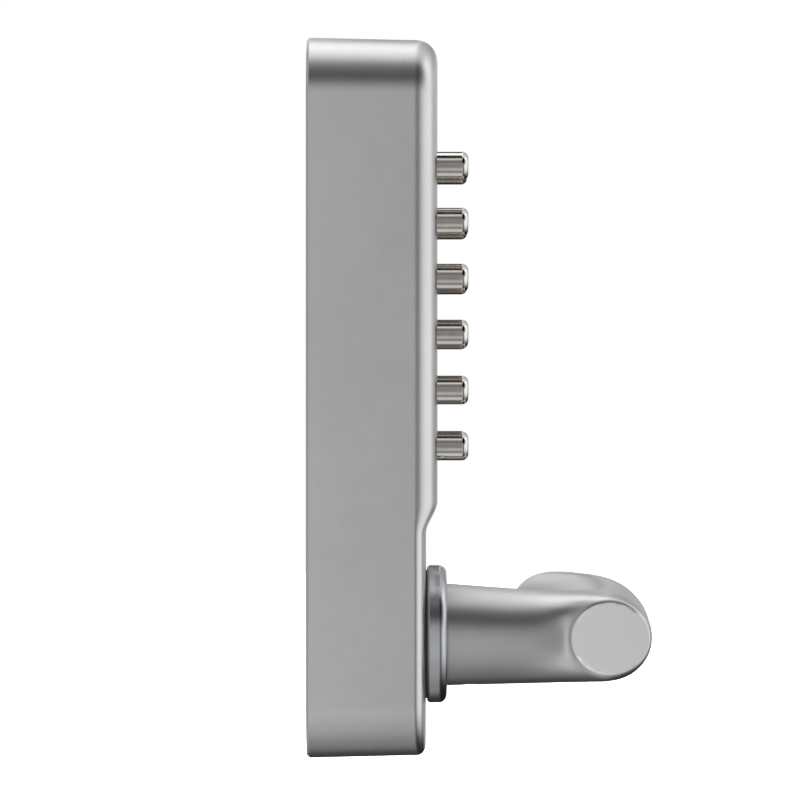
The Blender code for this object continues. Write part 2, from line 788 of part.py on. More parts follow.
def code_slide():
    """Ladder plate: windows round the tumblers, a tongue down to the foot that the cam lifts."""
    half_x = TUMBLER_WIDTH / 2 + SLIDE_GAP
    above = TUMBLER_HEIGHT / 2 + SLIDE_GAP
    below = TUMBLER_HEIGHT / 2 - NOTCH_DEPTH + SLIDE_GAP + SLIDE_LIFT
    windows = [rectangle(x - half_x, x + half_x, y - below, y + above) for _, x, y in key_places()]
    top = BLOCK_TOP - SLIDE_GAP - SLIDE_LIFT
    low = BLOCK_BOTTOM + BLOCK_EDGE
    wide = SLIDE_HALF_WIDTH
    tongue = TONGUE_WIDTH / 2
    foot = LEG_SPACING / 2 + LEG_WIDTH / 2
    right = [(wide, top), (wide, low), (tongue, low), (tongue, FOOT_TOP)]
    peg = LEG_SPACING / 2
    half_peg = PEG_WIDTH / 2
    right += [
        (peg - half_peg, FOOT_TOP),
        (peg - half_peg, FOOT_TOP + PEG_HEIGHT),
        (peg + half_peg, FOOT_TOP + PEG_HEIGHT),
        (peg + half_peg, FOOT_TOP),
        (foot, FOOT_TOP),
        (foot, FOOT_LOW),
    ]
    outline = right + [(-x, y) for x, y in reversed(right)]
    sheet("code_slide", outline, windows, SLIDE_BACK, CODE_SLIDE, PLATED_STEEL)


def return_springs():
    length = LEG_LOW - FOOT_TOP - 2 * GAP
    for side, x in zip(("left", "right"), leg_places()):
        location = (x, FOOT_TOP + GAP, SLIDE_MIDDLE)
        coil(
            f"return_spring_{side}",
            location,
            RETURN_RADIUS,
            RETURN_WIRE,
            RETURN_TURNS,
            length,
            "Y",
        )


def tumbler_plate():
    outline = rounded_box(
        -BLOCK_HALF_WIDTH,
        BLOCK_HALF_WIDTH,
        BLOCK_BOTTOM,
        BLOCK_TOP,
        BLOCK_EDGE,
        2,
    )
    holes = [*tumbler_windows(SLIDE_GAP), *screw_holes()]
    sheet("tumbler_plate", outline, holes, TUMBLER_PLATE_BACK, TUMBLER_PLATE, PLATED_STEEL)


def back_plate():
    """Flush in the case's rim, with holes for the hub and the door bolts, and countersunk for its screws."""
    corner = CORNER_RADIUS - SIDE_WALL - GAP
    x = HALF_WIDTH - SIDE_WALL - GAP - DRAFT_SHARE * BACK_PLATE
    y = HALF_HEIGHT - SIDE_WALL - GAP - DRAFT_SHARE * BACK_PLATE
    outline = rounded_box(-x, x, -y, y, corner, 5)
    holes = [circle(0, LEVER_HEIGHT, TAIL_RADIUS + BORE_GAP, ROUND_STEPS)]
    holes += [circle(px, py, POST_HOLE) for px, py in post_places()]
    plate = sheet("back_plate", outline, holes, 0, BACK_PLATE, PLATED_STEEL)
    wide = SCREW_HEAD_RADIUS + GAP
    narrow = SCREW_RADIUS + GAP
    profile = [(wide, -OVERRUN), (wide, GAP / 2), (narrow, GAP / 2 + wide - narrow), (narrow, OVERRUN)]
    for number, (px, py) in enumerate(plate_screw_places(), start=1):
        cut(plate, turned(f"countersink_{number}", profile, None, (px, py, 0), INNER_STEPS))
    return plate


def screw(name, profile, x, y, head_back, finish):
    """A machine screw along +Z from its head, with a recessed drive."""
    drive = [(DRIVE_RADIUS, DRIVE_DEPTH), (DRIVE_RADIUS, 0)]
    turned(name, drive + profile, finish, (x, y, head_back), INNER_STEPS)


def stack_screws():
    edge = SCREW_HEAD / 3
    head_back = TUMBLER_PLATE_BACK - GAP / 2 - SCREW_HEAD
    tip = PILLAR_BACK + SCREW_GRIP - head_back
    profile = [
        (SCREW_HEAD_RADIUS - edge, 0),
        (SCREW_HEAD_RADIUS, edge),
        (SCREW_HEAD_RADIUS, SCREW_HEAD),
        (SCREW_RADIUS, SCREW_HEAD),
        (SCREW_RADIUS, tip),
    ]
    for number, (x, y) in enumerate(stack_places(), start=1):
        screw(f"stack_screw_{number}", profile, x, y, head_back, DARK_STEEL)


def plate_screws():
    """Countersunk screws, their heads just below the plate's rear face."""
    cone = SCREW_HEAD_RADIUS - SCREW_RADIUS
    profile = [(SCREW_HEAD_RADIUS, 0), (SCREW_RADIUS, cone), (SCREW_RADIUS, PLATE_SCREW_LENGTH)]
    for number, (x, y) in enumerate(plate_screw_places(), start=1):
        screw(f"plate_screw_{number}", profile, x, y, GAP / 2, PLATED_STEEL)


def lever_rose():
    """Ring on the bush's flange, round at its front edge and hollow behind for the flange's collar."""
    front = ROSE_FRONT - FOOT_DEPTH
    back = ROSE_BACK - FOOT_DEPTH
    chamfer = ROSE_ROUND / 4
    profile = [
        (ROSE_BORE, back + ROSE_RECESS),
        (ROSE_RADIUS - ROSE_RIM, back + ROSE_RECESS),
        (ROSE_RADIUS - ROSE_RIM, back),
        (ROSE_RADIUS - chamfer, back),
        (ROSE_RADIUS, back + chamfer),
        *arc(ROSE_RADIUS - ROSE_ROUND, front - ROSE_ROUND, ROSE_ROUND, 0, QUARTER, 4),
        (ROSE_BORE, front),
    ]
    location = (0, LEVER_HEIGHT, FOOT_DEPTH)
    turned("lever_rose", profile, ROSE_STEEL, location, ROUND_STEPS, closed=True)


def lever_bush():
    """Bearing of the hub, with a flange on the case and a collar that centres the rose."""
    profile = [
        (BUSH_RADIUS, BOSS_REAR),
        (BUSH_OUTER, BOSS_REAR),
        (BUSH_OUTER, FLANGE_BACK),
        (FLANGE_RADIUS, FLANGE_BACK),
        (FLANGE_RADIUS, COLLAR_RING_FRONT),
        (ROSE_BORE, COLLAR_RING_FRONT),
        (ROSE_BORE, FOOT_DEPTH),
        (BUSH_RADIUS, FOOT_DEPTH),
    ]
    turned("lever_bush", profile, BLACK_NYLON, (0, LEVER_HEIGHT, 0), ROUND_STEPS, closed=True)


def lever_hub():
    """Steel hub: stub in the lever, journal in the bush, flats for the cam, square socket at the back."""
    clip_front = CAM_BACK - GAP
    clip_back = clip_front - CLIP_THICK - GAP
    stub_front = ROSE_BACK + STUB_LENGTH - GAP
    profile = [
        (TAIL_RADIUS, HUB_BACK),
        (TAIL_RADIUS, clip_back),
        (TAIL_RADIUS - CLIP_GROOVE, clip_back),
        (TAIL_RADIUS - CLIP_GROOVE, clip_front),
        (TAIL_RADIUS, clip_front),
        (TAIL_RADIUS, CAM_BACK - GAP / 2),
        (CAM_SEAT_RADIUS, CAM_BACK - GAP / 2),
        (CAM_SEAT_RADIUS, CAM_FRONT + GAP),
        (JOURNAL_RADIUS, CAM_FRONT + GAP),
        (JOURNAL_RADIUS, FOOT_DEPTH),
        (STUB_RADIUS, FOOT_DEPTH),
        (STUB_RADIUS, stub_front),
    ]
    hub = turned("lever_hub", profile, PLATED_STEEL, (0, LEVER_HEIGHT, 0), 24)
    half = SPINDLE_SQUARE / 2
    cut(hub, lever_block("spindle_socket", -half, half, -half, half, HUB_BACK - OVERRUN, SPINDLE_DEPTH))
    for side in (-1, 1):
        ends = sorted((side * CAM_FLAT, side * (CAM_SEAT_RADIUS + OVERRUN)))
        reach = CAM_SEAT_RADIUS + OVERRUN
        name = "cam_flat_left" if side < 0 else "cam_flat_right"
        cut(hub, lever_block(name, *ends, -reach, reach, CAM_BACK - GAP, CAM_FRONT + GAP))
    return hub


def lever_block(name, left, right, low, high, back, front):
    """A box guide placed about the lever's axis."""
    return block(name, left, right, LEVER_HEIGHT + low, LEVER_HEIGHT + high, back, front)


def involute_point(angle):
    """A point of the cam whose flat-faced follower rises by CAM_ARM for each radian turned."""
    reach = CAM_REST + CAM_ARM * (angle - QUARTER)
    x = reach * math.cos(angle) - CAM_ARM * math.sin(angle)
    y = reach * math.sin(angle) + CAM_ARM * math.cos(angle)
    return x, y


def drive_cam():
    """Round plate with an involute lobe: it lifts the slide's foot evenly as the lever goes down."""
    lobe_turn = math.radians(75)
    steps = 10
    lobe = [involute_point(QUARTER + lobe_turn * i / steps) for i in range(steps + 1)]
    start = math.atan2(lobe[0][1], lobe[0][0])
    finish = math.atan2(lobe[-1][1], lobe[-1][0])
    if finish < 0:
        finish += TURN
    base = CAM_REST - CAM_ARM / 4
    rest = arc(0, 0, base, finish, start + TURN, 16)[1:-1]
    seat = CAM_SEAT_RADIUS + BORE_GAP
    flat = CAM_FLAT + BORE_GAP / 2
    corner = math.acos(flat / seat)
    hole = arc(0, 0, seat, corner, math.pi - corner, 6)
    hole += arc(0, 0, seat, math.pi + corner, TURN - corner, 6)
    cam = sheet("drive_cam", lobe + rest, [hole], CAM_BACK, CAM_THICK, DARK_STEEL)
    cam.location.y = LEVER_HEIGHT


def hub_circlip():
    inner = TAIL_RADIUS - CLIP_GROOVE + GAP
    outer = inner + CLIP_WIDTH
    gap_angle = CLIP_OPENING / inner / 2
    start = gap_angle - QUARTER
    end = TURN - gap_angle - QUARTER
    outline = arc(0, 0, outer, start, end, 20) + arc(0, 0, inner, end, start, 20)
    clip_back = CAM_BACK - GAP - CLIP_THICK - GAP / 2
    clip = sheet("hub_circlip", outline, [], clip_back, CLIP_THICK, DARK_STEEL)
    clip.location.y = LEVER_HEIGHT


def cage_share(count):
    """How much larger a ring of control points is than the smooth ring that it makes."""
    return 1 / (2 / 3 + math.cos(TURN / count) / 3)


def cage_ring(centre, across, half_across, half_height, rear_height=None, count=8):
    """Eight control points round a section: across is a direction in plan, and the rear is the other way."""
    grown = cage_share(count)
    points = []
    for i in range(count):
        angle = TURN * (i + 0.5) / count
        rear = math.cos(angle) < 0 and rear_height
        sideways = across * (half_across * grown * math.cos(angle))
        upwards = Vector((0, (rear_height if rear else half_height) * grown * math.sin(angle), 0))
        points.append(centre + sideways + upwards)
    return points


def grip_sections():
    """Control rings of the grip from its flat end to its round tip, in depths from the rose's back.

    The grip bows out between its ends, and drops and is slimmer near the flat one.
    """
    reach = GRIP_DEPTH - ROSE_BACK
    out = Vector((0, 0, 1))

    def section(x, rear_height=None):
        along = max(x, 0) / BEND_START
        size = NEAR_SHARE + (1 - NEAR_SHARE) * along
        bow = GRIP_BOW * math.sin(math.pi * along * BOW_SHARE)
        centre = Vector((x, GRIP_DROP * (along - 1), reach + bow))
        return cage_ring(centre, out, GRIP_HALF_DEPTH * size, GRIP_HALF_HEIGHT * size, rear_height)

    flat = Vector((-GRIP_END, -GRIP_DROP, reach))
    rings = [cage_ring(flat, out, END_HALF_DEPTH, END_HALF_HEIGHT)]
    rings.append(section(END_ROUND - GRIP_END, rear_height=NECK_TIP_RADIUS))
    rings.append(section(GRIP_END - END_ROUND, rear_height=NECK_TIP_RADIUS))
    rings += [section(BEND_START * share) for share in GRIP_SHARES]
    bend_depth = reach + GRIP_BOW * math.sin(math.pi * BOW_SHARE)
    for share in BEND_SHARES:
        turn = BEND_ANGLE * share
        across = Vector((math.sin(turn), 0, math.cos(turn)))
        centre = Vector((BEND_START, 0, bend_depth - BEND_RADIUS)) + across * BEND_RADIUS
        rings.append(cage_ring(centre, across, GRIP_HALF_DEPTH, GRIP_HALF_HEIGHT))
    heading = Vector((math.cos(BEND_ANGLE), 0, -math.sin(BEND_ANGLE)))
    for forward, size in TIP_SHARES:
        tip = centre + heading * GRIP_HALF_DEPTH * forward
        rings.append(cage_ring(tip, across, GRIP_HALF_DEPTH * size, GRIP_HALF_HEIGHT * size))
    return rings


def join_rings(form, one, other, skipped=()):
    count = len(one)
    for i in range(count):
        if i not in skipped:
            j = (i + 1) % count
            form.faces.new((one[i], one[j], other[j], other[i]))


def lever_cage():
    """Control cage of the lever: the neck runs into the side of the grip, whose near end is cut flat."""
    form = bmesh.new()
    loops = [[form.verts.new(point) for point in ring] for ring in grip_sections()]
    near, far = loops[1], loops[2]
    for one, other in zip(loops, loops[1:]):
        join_rings(form, one, other, (2, 3, 4) if one is near else ())
    form.faces.new(loops[0])
    form.faces.new(loops[-1])

    mouth = [far[3], far[2], near[2], near[3], near[4], near[5], far[5], far[4]]
    reach = GRIP_DEPTH - ROSE_BACK
    join = reach - NECK_JOIN_SHARE * GRIP_HALF_DEPTH
    ring = mouth
    for share in NECK_SHARES:
        radius = NECK_ROOT_RADIUS + (NECK_TIP_RADIUS - NECK_ROOT_RADIUS) * share
        centre = Vector((0, -NECK_DROP * share, join * share))
        points = cage_ring(centre, Vector((1, 0, 0)), radius, radius)
        previous = ring
        ring = [form.verts.new(point) for point in points]
        join_rings(form, previous, ring)
    form.faces.new(ring)

    crease = form.edges.layers.float.new("crease_edge")
    for rim in (ring, loops[0]):
        for i in range(len(rim)):
            edge = form.edges.get((rim[i], rim[(i + 1) % len(rim)]))
            edge[crease] = 1.0
    return form


def lever_handle():
    mesh = mesh_from("lever_handle", lever_cage(), math.radians(60))
    lever = place("lever_handle", mesh, SATIN_ZINC, (0, LEVER_HEIGHT, ROSE_BACK))
    smooth = lever.modifiers.new("smooth", "SUBSURF")
    smooth.levels = 2
    smooth.render_levels = 2
    lever_axis = [(0, LEVER_HEIGHT)]
    socket = STUB_RADIUS + BORE_GAP
    cut(lever, rods("lever_socket", lever_axis, socket, ROSE_BACK - OVERRUN, ROSE_BACK + STUB_LENGTH, 24))
    cut(lever, upright_rod("grub_bore", GRUB_RADIUS + GAP, 0, NECK_ROOT_RADIUS + OVERRUN))
    return lever


def upright_rod(name, radius, start, end, steps=12):
    """A rod below the lever's axis, from start to end, at the grub screw's depth."""
    depth = ROSE_FRONT + GRUB_OFFSET
    rings = []
    for drop in (start, end):
        rings.append([Vector((x, -drop, z)) for x, z in circle(0, 0, radius, steps)])
    return place(name, mesh_from(name, loft(rings)), None, (0, LEVER_HEIGHT, depth))


def grub_screw():
    start = STUB_RADIUS + GAP
    end = start + GRUB_LENGTH
    socket = GRUB_RADIUS / 2
    rings = []
    for radius, drop in (
        (GRUB_RADIUS, start),
        (GRUB_RADIUS, end),
        (socket, end),
        (socket, end - GRUB_LENGTH / 2),
    ):
        rings.append([Vector((x, -drop, z)) for x, z in circle(0, 0, radius, 12)])
    location = (0, LEVER_HEIGHT, ROSE_FRONT + GRUB_OFFSET)
    place("grub_screw", mesh_from("grub_screw", loft(rings)), DARK_STEEL, location)


def main():
    clear_objects()
    door_frame = bpy.data.objects.new("door_frame", None)
    bpy.context.scene.collection.objects.link(door_frame)
    door_frame.rotation_euler = (QUARTER, 0, 0)
    front_case()
    push_buttons()
    button_springs()
    code_tumblers()
    guide_plate()
    hold_plate()
    hold_spring()
    code_block()
    code_slide()
    return_springs()
    tumbler_plate()
    stack_screws()
    back_plate()
    plate_screws()
    lever_rose()
    lever_bush()
    lever_hub()
    drive_cam()
    hub_circlip()
    lever_handle()
    grub_screw()


main()
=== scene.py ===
"""Looks of the push-button door lock: fine pieces, finishes, numbers, studio and camera."""
import json
import math

import bmesh
import bpy
from mathutils import Matrix, Vector

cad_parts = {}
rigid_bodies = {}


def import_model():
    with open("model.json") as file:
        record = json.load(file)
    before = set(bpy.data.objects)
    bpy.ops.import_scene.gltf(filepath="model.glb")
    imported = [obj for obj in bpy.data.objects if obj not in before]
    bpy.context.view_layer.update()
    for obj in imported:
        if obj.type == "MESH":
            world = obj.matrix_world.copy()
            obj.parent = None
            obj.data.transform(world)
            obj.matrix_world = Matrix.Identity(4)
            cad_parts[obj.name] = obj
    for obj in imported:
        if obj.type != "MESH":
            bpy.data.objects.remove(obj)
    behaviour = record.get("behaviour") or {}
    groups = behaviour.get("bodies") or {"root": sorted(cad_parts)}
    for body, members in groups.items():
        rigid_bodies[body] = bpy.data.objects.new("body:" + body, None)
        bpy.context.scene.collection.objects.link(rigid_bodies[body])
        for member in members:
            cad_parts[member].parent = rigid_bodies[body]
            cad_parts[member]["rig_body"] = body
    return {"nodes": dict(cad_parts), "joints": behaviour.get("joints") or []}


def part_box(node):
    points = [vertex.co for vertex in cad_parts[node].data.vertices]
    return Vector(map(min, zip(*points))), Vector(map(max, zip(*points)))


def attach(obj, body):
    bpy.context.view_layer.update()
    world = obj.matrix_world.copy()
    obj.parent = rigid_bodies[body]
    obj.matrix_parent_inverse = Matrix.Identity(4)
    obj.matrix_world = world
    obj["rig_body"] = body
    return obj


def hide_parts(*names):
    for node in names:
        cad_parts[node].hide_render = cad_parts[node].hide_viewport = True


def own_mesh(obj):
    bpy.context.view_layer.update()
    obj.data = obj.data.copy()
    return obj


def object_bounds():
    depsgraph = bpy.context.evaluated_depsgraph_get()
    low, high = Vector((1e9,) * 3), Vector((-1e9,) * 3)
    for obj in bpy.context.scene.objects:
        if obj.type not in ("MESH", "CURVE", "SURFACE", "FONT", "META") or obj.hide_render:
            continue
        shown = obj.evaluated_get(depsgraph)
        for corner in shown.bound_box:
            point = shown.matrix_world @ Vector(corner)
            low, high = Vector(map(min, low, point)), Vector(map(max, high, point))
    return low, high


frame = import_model()
cad_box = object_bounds()
nodes = frame["nodes"]
scene = bpy.context.scene

MM = 0.001
QUARTER = math.pi / 2
TURN = 2 * math.pi
WHITE = (1.0, 1.0, 1.0)

# Gaps
GAP = 0.0003
SLIDE_GAP = 0.00035
BORE_GAP = 0.0004
OVERRUN = 0.002
WELD = 0.000001

# Case
HALF_WIDTH = 0.029
HALF_HEIGHT = 0.095
KEYPAD_DEPTH = 0.0345
FOOT_DEPTH = 0.03145
INNER_FRONT = 0.03095
FOOT_INNER = 0.0279
SIDE_WALL = 0.0026
STEP_HEIGHT = 0.0090
STEP_BOTTOM = -0.0363
CROWN_RADIUS = 0.370
CORNER_RADIUS = 0.0135
CORNER_REACH = 0.0155
EDGE_RADIUS = 0.0053
RIM_CHAMFER = 0.0007
DRAFT_SHARE = 0.0225
BACK_PLATE = 0.0015
HOLE_CHAMFER = 0.00025

# Inside the case
PILLAR_BACK = 0.0218
PILLAR_RADIUS = 0.0032
POST_RADIUS = 0.0045
POST_BORE = 0.0021
POST_BORE_DEPTH = 0.018
POST_HEIGHT = 0.0835
PLATE_SCREW_PLACE = (0.0154, 0.084)
STACK_X = 0.021427
STACK_ROWS = (0.0662, -0.0186)
SCREW_RADIUS = 0.0015
SCREW_GRIP = 0.0050
PLATE_SCREW_LENGTH = 0.0080
BOSS_OUTER = 0.0137
BOSS_BORE = 0.0110
BOSS_REAR = 0.0130

# Buttons
ROWS = 6
TOP_ROW = 0.0614
ROW_PITCH = 0.01484
COLUMN_X = 0.009
BUTTON_RADIUS = 0.00382
BUTTON_REACH = 0.00815
BUTTON_ROUND = 0.0017
BUTTON_DISH = 0.00012
DISH_RADIUS = BUTTON_RADIUS / 4
COLLAR_RADIUS = 0.0051
COLLAR_BACK = 0.02915
COLLAR_FRONT = 0.03065
STEM_RADIUS = 0.0020
STEM_BACK = 0.0168
CATCH_RADIUS = 0.0015
CATCH_BACK = 0.0216

# Lever
LEVER_HEIGHT = -0.0632
ROSE_BACK = 0.03175
ROSE_FRONT = 0.0370
ROSE_RADIUS = 0.01835
ROSE_ROUND = 0.0022
ROSE_CHAMFER = ROSE_ROUND / 4
ROSE_RIM = 0.0009
ROSE_RECESS = 0.0009
BUSH_RADIUS = 0.0094
BUSH_OUTER = 0.0106
FLANGE_BACK = 0.03085
NECK_ROOT_RADIUS = 0.0139
NECK_TIP_RADIUS = 0.0123
ROSE_BORE = NECK_ROOT_RADIUS + BORE_GAP
FLANGE_RADIUS = ROSE_RADIUS - ROSE_RIM - GAP
NECK_DROP = 0.0008
GRIP_DEPTH = 0.08015
GRIP_BOW = 0.0021
GRIP_DROP = 0.0005
GRIP_HALF_DEPTH = 0.0118
GRIP_HALF_HEIGHT = 0.0119
NEAR_SHARE = 0.965
GRIP_END = 0.0126
END_HALF_DEPTH = 0.0103
END_HALF_HEIGHT = 0.0095
END_ROUND = 0.0011
FLAT_END_FADE = 0.0001
BEND_START = 0.0770
BEND_RADIUS = 0.0500
BEND_ANGLE = math.radians(42)
STUB_RADIUS = 0.0075
STUB_LENGTH = 0.018
GRUB_RADIUS = 0.0024
GRUB_LENGTH = 0.0050
GRUB_OFFSET = 0.0060

# Screws
SCREW_HEAD_RADIUS = 0.0027
SCREW_HEAD = 0.0017
SCREW_CHAMFER = SCREW_HEAD / 3
STACK_SCREW_BACK = 0.00495
STACK_THREAD = 0.0070
RIDGE_PITCH = 0.0005
RIDGE = 0.0002
CROSS_REACH = 0.0016
CROSS_DEPTH = 0.0010
HEX_RADIUS = 0.00144
HEX_DEPTH = 0.0022
CROSS_ARM_SHARE = 0.19
CROSS_TAPER_SHARE = 0.6

# Shares of the lever's control rings, and of where its flat end gets its painted highlight
GRIP_SHARES = (0.38, 0.70)
BOW_SHARE = 0.8
BEND_SHARES = (0.0, 0.5, 1.0)
TIP_SHARES = ((0.55, 0.86), (0.86, 0.44))
NECK_SHARES = (1.0, 0.45, 0.0)
NECK_JOIN_SHARE = 1.4
FLAT_END_SHARES = (1.3, 1.1)

# Sides of the lever's cage that open into the neck
NECK_SIDES = (2, 3, 4)

# Smoothness
SHARP_ANGLE = math.radians(35)
CORNER_STEPS = 22
EDGE_STEPS = 14
FACE_COLUMNS = 20
STEP_ROWS = 24
ROOM_CORNER_STEPS = 8
ROOM_EDGE_STEPS = 4
ROOM_COLUMNS = 1
ROOM_STEP_ROWS = 8
TURNED_STEPS = 72
LARGE_STEPS = 128
ROUND_STEPS = 12
GRUB_STEPS = 48
HEX_SIDES = 6
CAGE_SIDES = 8
LEVER_LEVELS = 4
LETTER_STEPS = 8
FLOOR_STEPS = 96
DOME_STEPS = (48, 32)

# The eye, where the photograph was taken from
EYE = (-1.000, -0.02451, -0.0006)
SENSOR = 36.0
LENS = 168.1

# Tones of the finishes, a darker and a lighter one each
CASE_TONES = ((0.585, 0.585, 0.59), (0.63, 0.63, 0.635))
LEVER_TONES = ((0.555, 0.555, 0.56), (0.60, 0.60, 0.605))
# Painted highlight: a near-white colour for the lever's flat end, standing for the bright reflection it
# catches
END_HIGHLIGHT_TONE = (0.95, 0.95, 0.95)
ROSE_TONES = ((0.46, 0.47, 0.49), (0.53, 0.54, 0.56))
CHROME_TONES = ((0.70, 0.66, 0.62), (0.77, 0.73, 0.69))
PLATED_TONES = ((0.62, 0.63, 0.63), (0.76, 0.76, 0.73))
DRAWN_TONES = ((0.47, 0.48, 0.49), (0.59, 0.59, 0.57))
SPRING_TONES = ((0.36, 0.37, 0.40), (0.50, 0.51, 0.52))
BRASS_TONES = ((0.60, 0.44, 0.19), (0.76, 0.61, 0.32))
CAST_TONES = ((0.38, 0.38, 0.40), (0.54, 0.54, 0.55))
NYLON_TONES = ((0.012, 0.012, 0.013), (0.028, 0.028, 0.030))
BLACKENED_TONES = ((0.05, 0.05, 0.055), (0.13, 0.13, 0.135))
ENAMEL_TONES = ((0.012, 0.012, 0.013), (0.035, 0.035, 0.036))
FLOOR_TONES = ((0.88, 0.88, 0.885), (0.92, 0.92, 0.92))

# Button numbers
NUMBERS = ("1", "2", "3", "4", "5", "C", "6", "7", "8", "9", "0", "X")
NUMBER_HEIGHT = 4.2 * MM
NUMBER_SIDE = 16.8 * MM
NUMBER_THICK = 0.25 * MM
NUMBER_PROUD = 0.03 * MM
CAPITAL_SHARE = 0.70

# Studio: brightness of the tent, and of the gap between its cloths, round the lever's cross axis.
# The turn runs from behind and below, by the eye at 0, to behind and above.
DOME_RADIUS = 6.0
FLOOR_RADIUS = 3.0
TENT_SCALE = 2.6
TENT_ROUND = (
    (-180, 0.42), (-173, 0.45), (-166, 0.15), (-158, 0.06), (-136, 0.09), (-118, 0.12), (-105, 0.17),
    (-90, 0.27), (-75, 0.50), (-55, 0.86), (-40, 0.96), (-15, 1.02), (2, 1.02), (11, 0.92), (19, 0.66),
    (27, 0.14), (33, 0.02), (58, 0.0), (66, 0.20), (72, 0.92), (79, 1.76), (90, 1.96), (108, 1.95),
    (125, 1.55), (140, 1.15), (160, 0.85), (172, 0.75), (180, 0.42),
)
GAP_ROUND = (
    (-180, 0.04), (-135, 0.03), (-127, 0.05), (-119, 0.28), (-111, 0.60), (-104, 0.80), (-84, 0.72),
    (-67, 0.72), (-60, 0.52), (-53, 0.22), (-46, 0.23), (-37, 0.44), (-28, 0.54), (-19, 0.43),
    (-11, 0.27), (-4, 0.22), (6, 0.26), (15, 0.28), (25, 0.24), (33, 0.20), (40, 0.24), (47, 0.48),
    (53, 0.80), (59, 0.82), (63, 0.40), (67, 0.03), (72, 0.0), (87, 0.0), (92, 0.10), (97, 1.40),
    (122, 1.50), (131, 0.05),
)

# Where the studio's lights begin and end to fade, in degrees from straight sideways towards the front
GAP_SIDE = 1.0
GAP_HALF = 1.7
GAP_SOFTNESS = 0.3
FRONT_FADE = (32.0, 76.0)
REAR_FADE = (-12.0, -45.0)
FLAG_FADE = (4.5, 8.5)
FLAG_END_FADE = (23.0, 48.0)
FLAG_EXTRA_REACH = 12.0

# The same as shares of the dome's radius, and of half a turn for the high part
BEHIND_FADE = (0.10, 0.65)
BELOW_FADE = (-0.15, -0.75)
LEVEL_FADE = (0.35, 0.10)
REACH_FADE = (-0.2, 0.3)
HIGH_FADE = (0.30, 0.45)

# Brightness of the front and the rear light, and how much the flag takes away
FRONT_LIGHT = 1.25
FRONT_LOSS_BEHIND = 0.70
FRONT_LOSS_BELOW = 0.50
REAR_LIGHT = 0.5
FLAG_STRENGTH = 0.81
FLAG_LOSS_HIGH = 0.25

# Softboxes: name, place, width and power
SOFTBOXES = (
    ("overhead_softbox", (-0.2, -0.2, 2.2), 2.4, 160.0),
    ("front_softbox", (-0.3, -2.2, 0.9), 1.8, 12.0),
)
SOFTBOX_AIM = (0.03, -0.03, 0.0)


class Wire:
    """A value that runs through a finish, written as plain arithmetic."""

    def __init__(self, finish, socket):
        self.finish = finish
        self.socket = socket

    def math(self, operation, *values):
        return self.finish.node("ShaderNodeMath", {"operation": operation}, dict(enumerate(values)))

    def __add__(self, other):
        return self.math("ADD", self, other)

    def __radd__(self, other):
        return self.math("ADD", other, self)

    def __sub__(self, other):
        return self.math("SUBTRACT", self, other)

    def __rsub__(self, other):
        return self.math("SUBTRACT", other, self)

    def __mul__(self, other):
        return self.math("MULTIPLY", self, other)

    def __rmul__(self, other):
        return self.math("MULTIPLY", other, self)

    def __truediv__(self, other):
        return self.math("DIVIDE", self, other)

    def __pow__(self, other):
        return self.math("POWER", self, other)


class Finish:
    """A material while its nodes are being made."""

    def __init__(self, name):
        self.material = bpy.data.materials.new(name)
        self.material.use_nodes = True
        self.tree = self.material.node_tree
        self.shader = self.tree.nodes["Principled BSDF"]

    def fill(self, socket, value):
        """Links a wire to a socket, or sets a plain value."""
        if isinstance(value, Wire):
            self.tree.links.new(value.socket, socket)
        elif hasattr(value, "__len__") and len(value) == 3 and socket.type == "RGBA":
            socket.default_value = (*value, 1.0)
        else:
            socket.default_value = value

    def node(self, kind, settings=None, inputs=None, output=0):
        """Adds a node, with its settings and then the values or wires of its sockets."""
        made = self.tree.nodes.new(kind)
        for key, value in (settings or {}).items():
            if key == "stops":
                set_stops(made.color_ramp, value)
            else:
                setattr(made, key, value)
        for key, value in (inputs or {}).items():
            self.fill(made.inputs[key], value)
        return Wire(self, made.outputs[output])

    def surface(self, **values):
        """Fills the shader's sockets and gives the material."""
        for key, value in values.items():
            self.fill(self.shader.inputs[key.replace("_", " ")], value)
        return self.material

    def place(self):
        """Where a point is, in metres on the piece."""
        return self.node("ShaderNodeTexCoord", output="Object")

    def parts(self, vector):
        """The x, y and z of a vector."""
        split = self.node("ShaderNodeSeparateXYZ", None, {0: vector})
        outputs = split.socket.node.outputs
        return [Wire(self, outputs[i]) for i in range(3)]

    def stretched(self, vector, scale):
        return self.node("ShaderNodeVectorMath", {"operation": "MULTIPLY"}, {0: vector, 1: scale})

    def joined(self, x, y, z):
        return self.node("ShaderNodeCombineXYZ", None, {0: x, 1: y, 2: z})

    def noise(self, vector, scale, detail, roughness=0.5):
        return self.node(
            "ShaderNodeTexNoise", None,
            {"Vector": vector, "Scale": scale, "Detail": detail, "Roughness": roughness},
        )

    def eased(self, value, low, high):
        """From 0 at the low value to 1 at the high one, with soft ends."""
        return self.node(
            "ShaderNodeMapRange", {"interpolation_type": "SMOOTHSTEP"},
            {"Value": value, "From Min": low, "From Max": high},
        )

    def mix(self, share, one, other):
        """A colour between two."""
        return self.node("ShaderNodeMix", {"data_type": "RGBA"}, {0: share, 6: one, 7: other}, output=2)

    def bump(self, height, distance, strength):
        return self.node(
            "ShaderNodeBump", None, {"Height": height, "Distance": distance, "Strength": strength},
        )


def set_stops(ramp, stops):
    """Places the colours of a ramp."""
    while len(ramp.elements) < len(stops):
        ramp.elements.new(1.0)
    for element, (position, colour) in zip(ramp.elements, stops):
        element.position = position
        element.color = (*colour, 1.0)


# Finishes

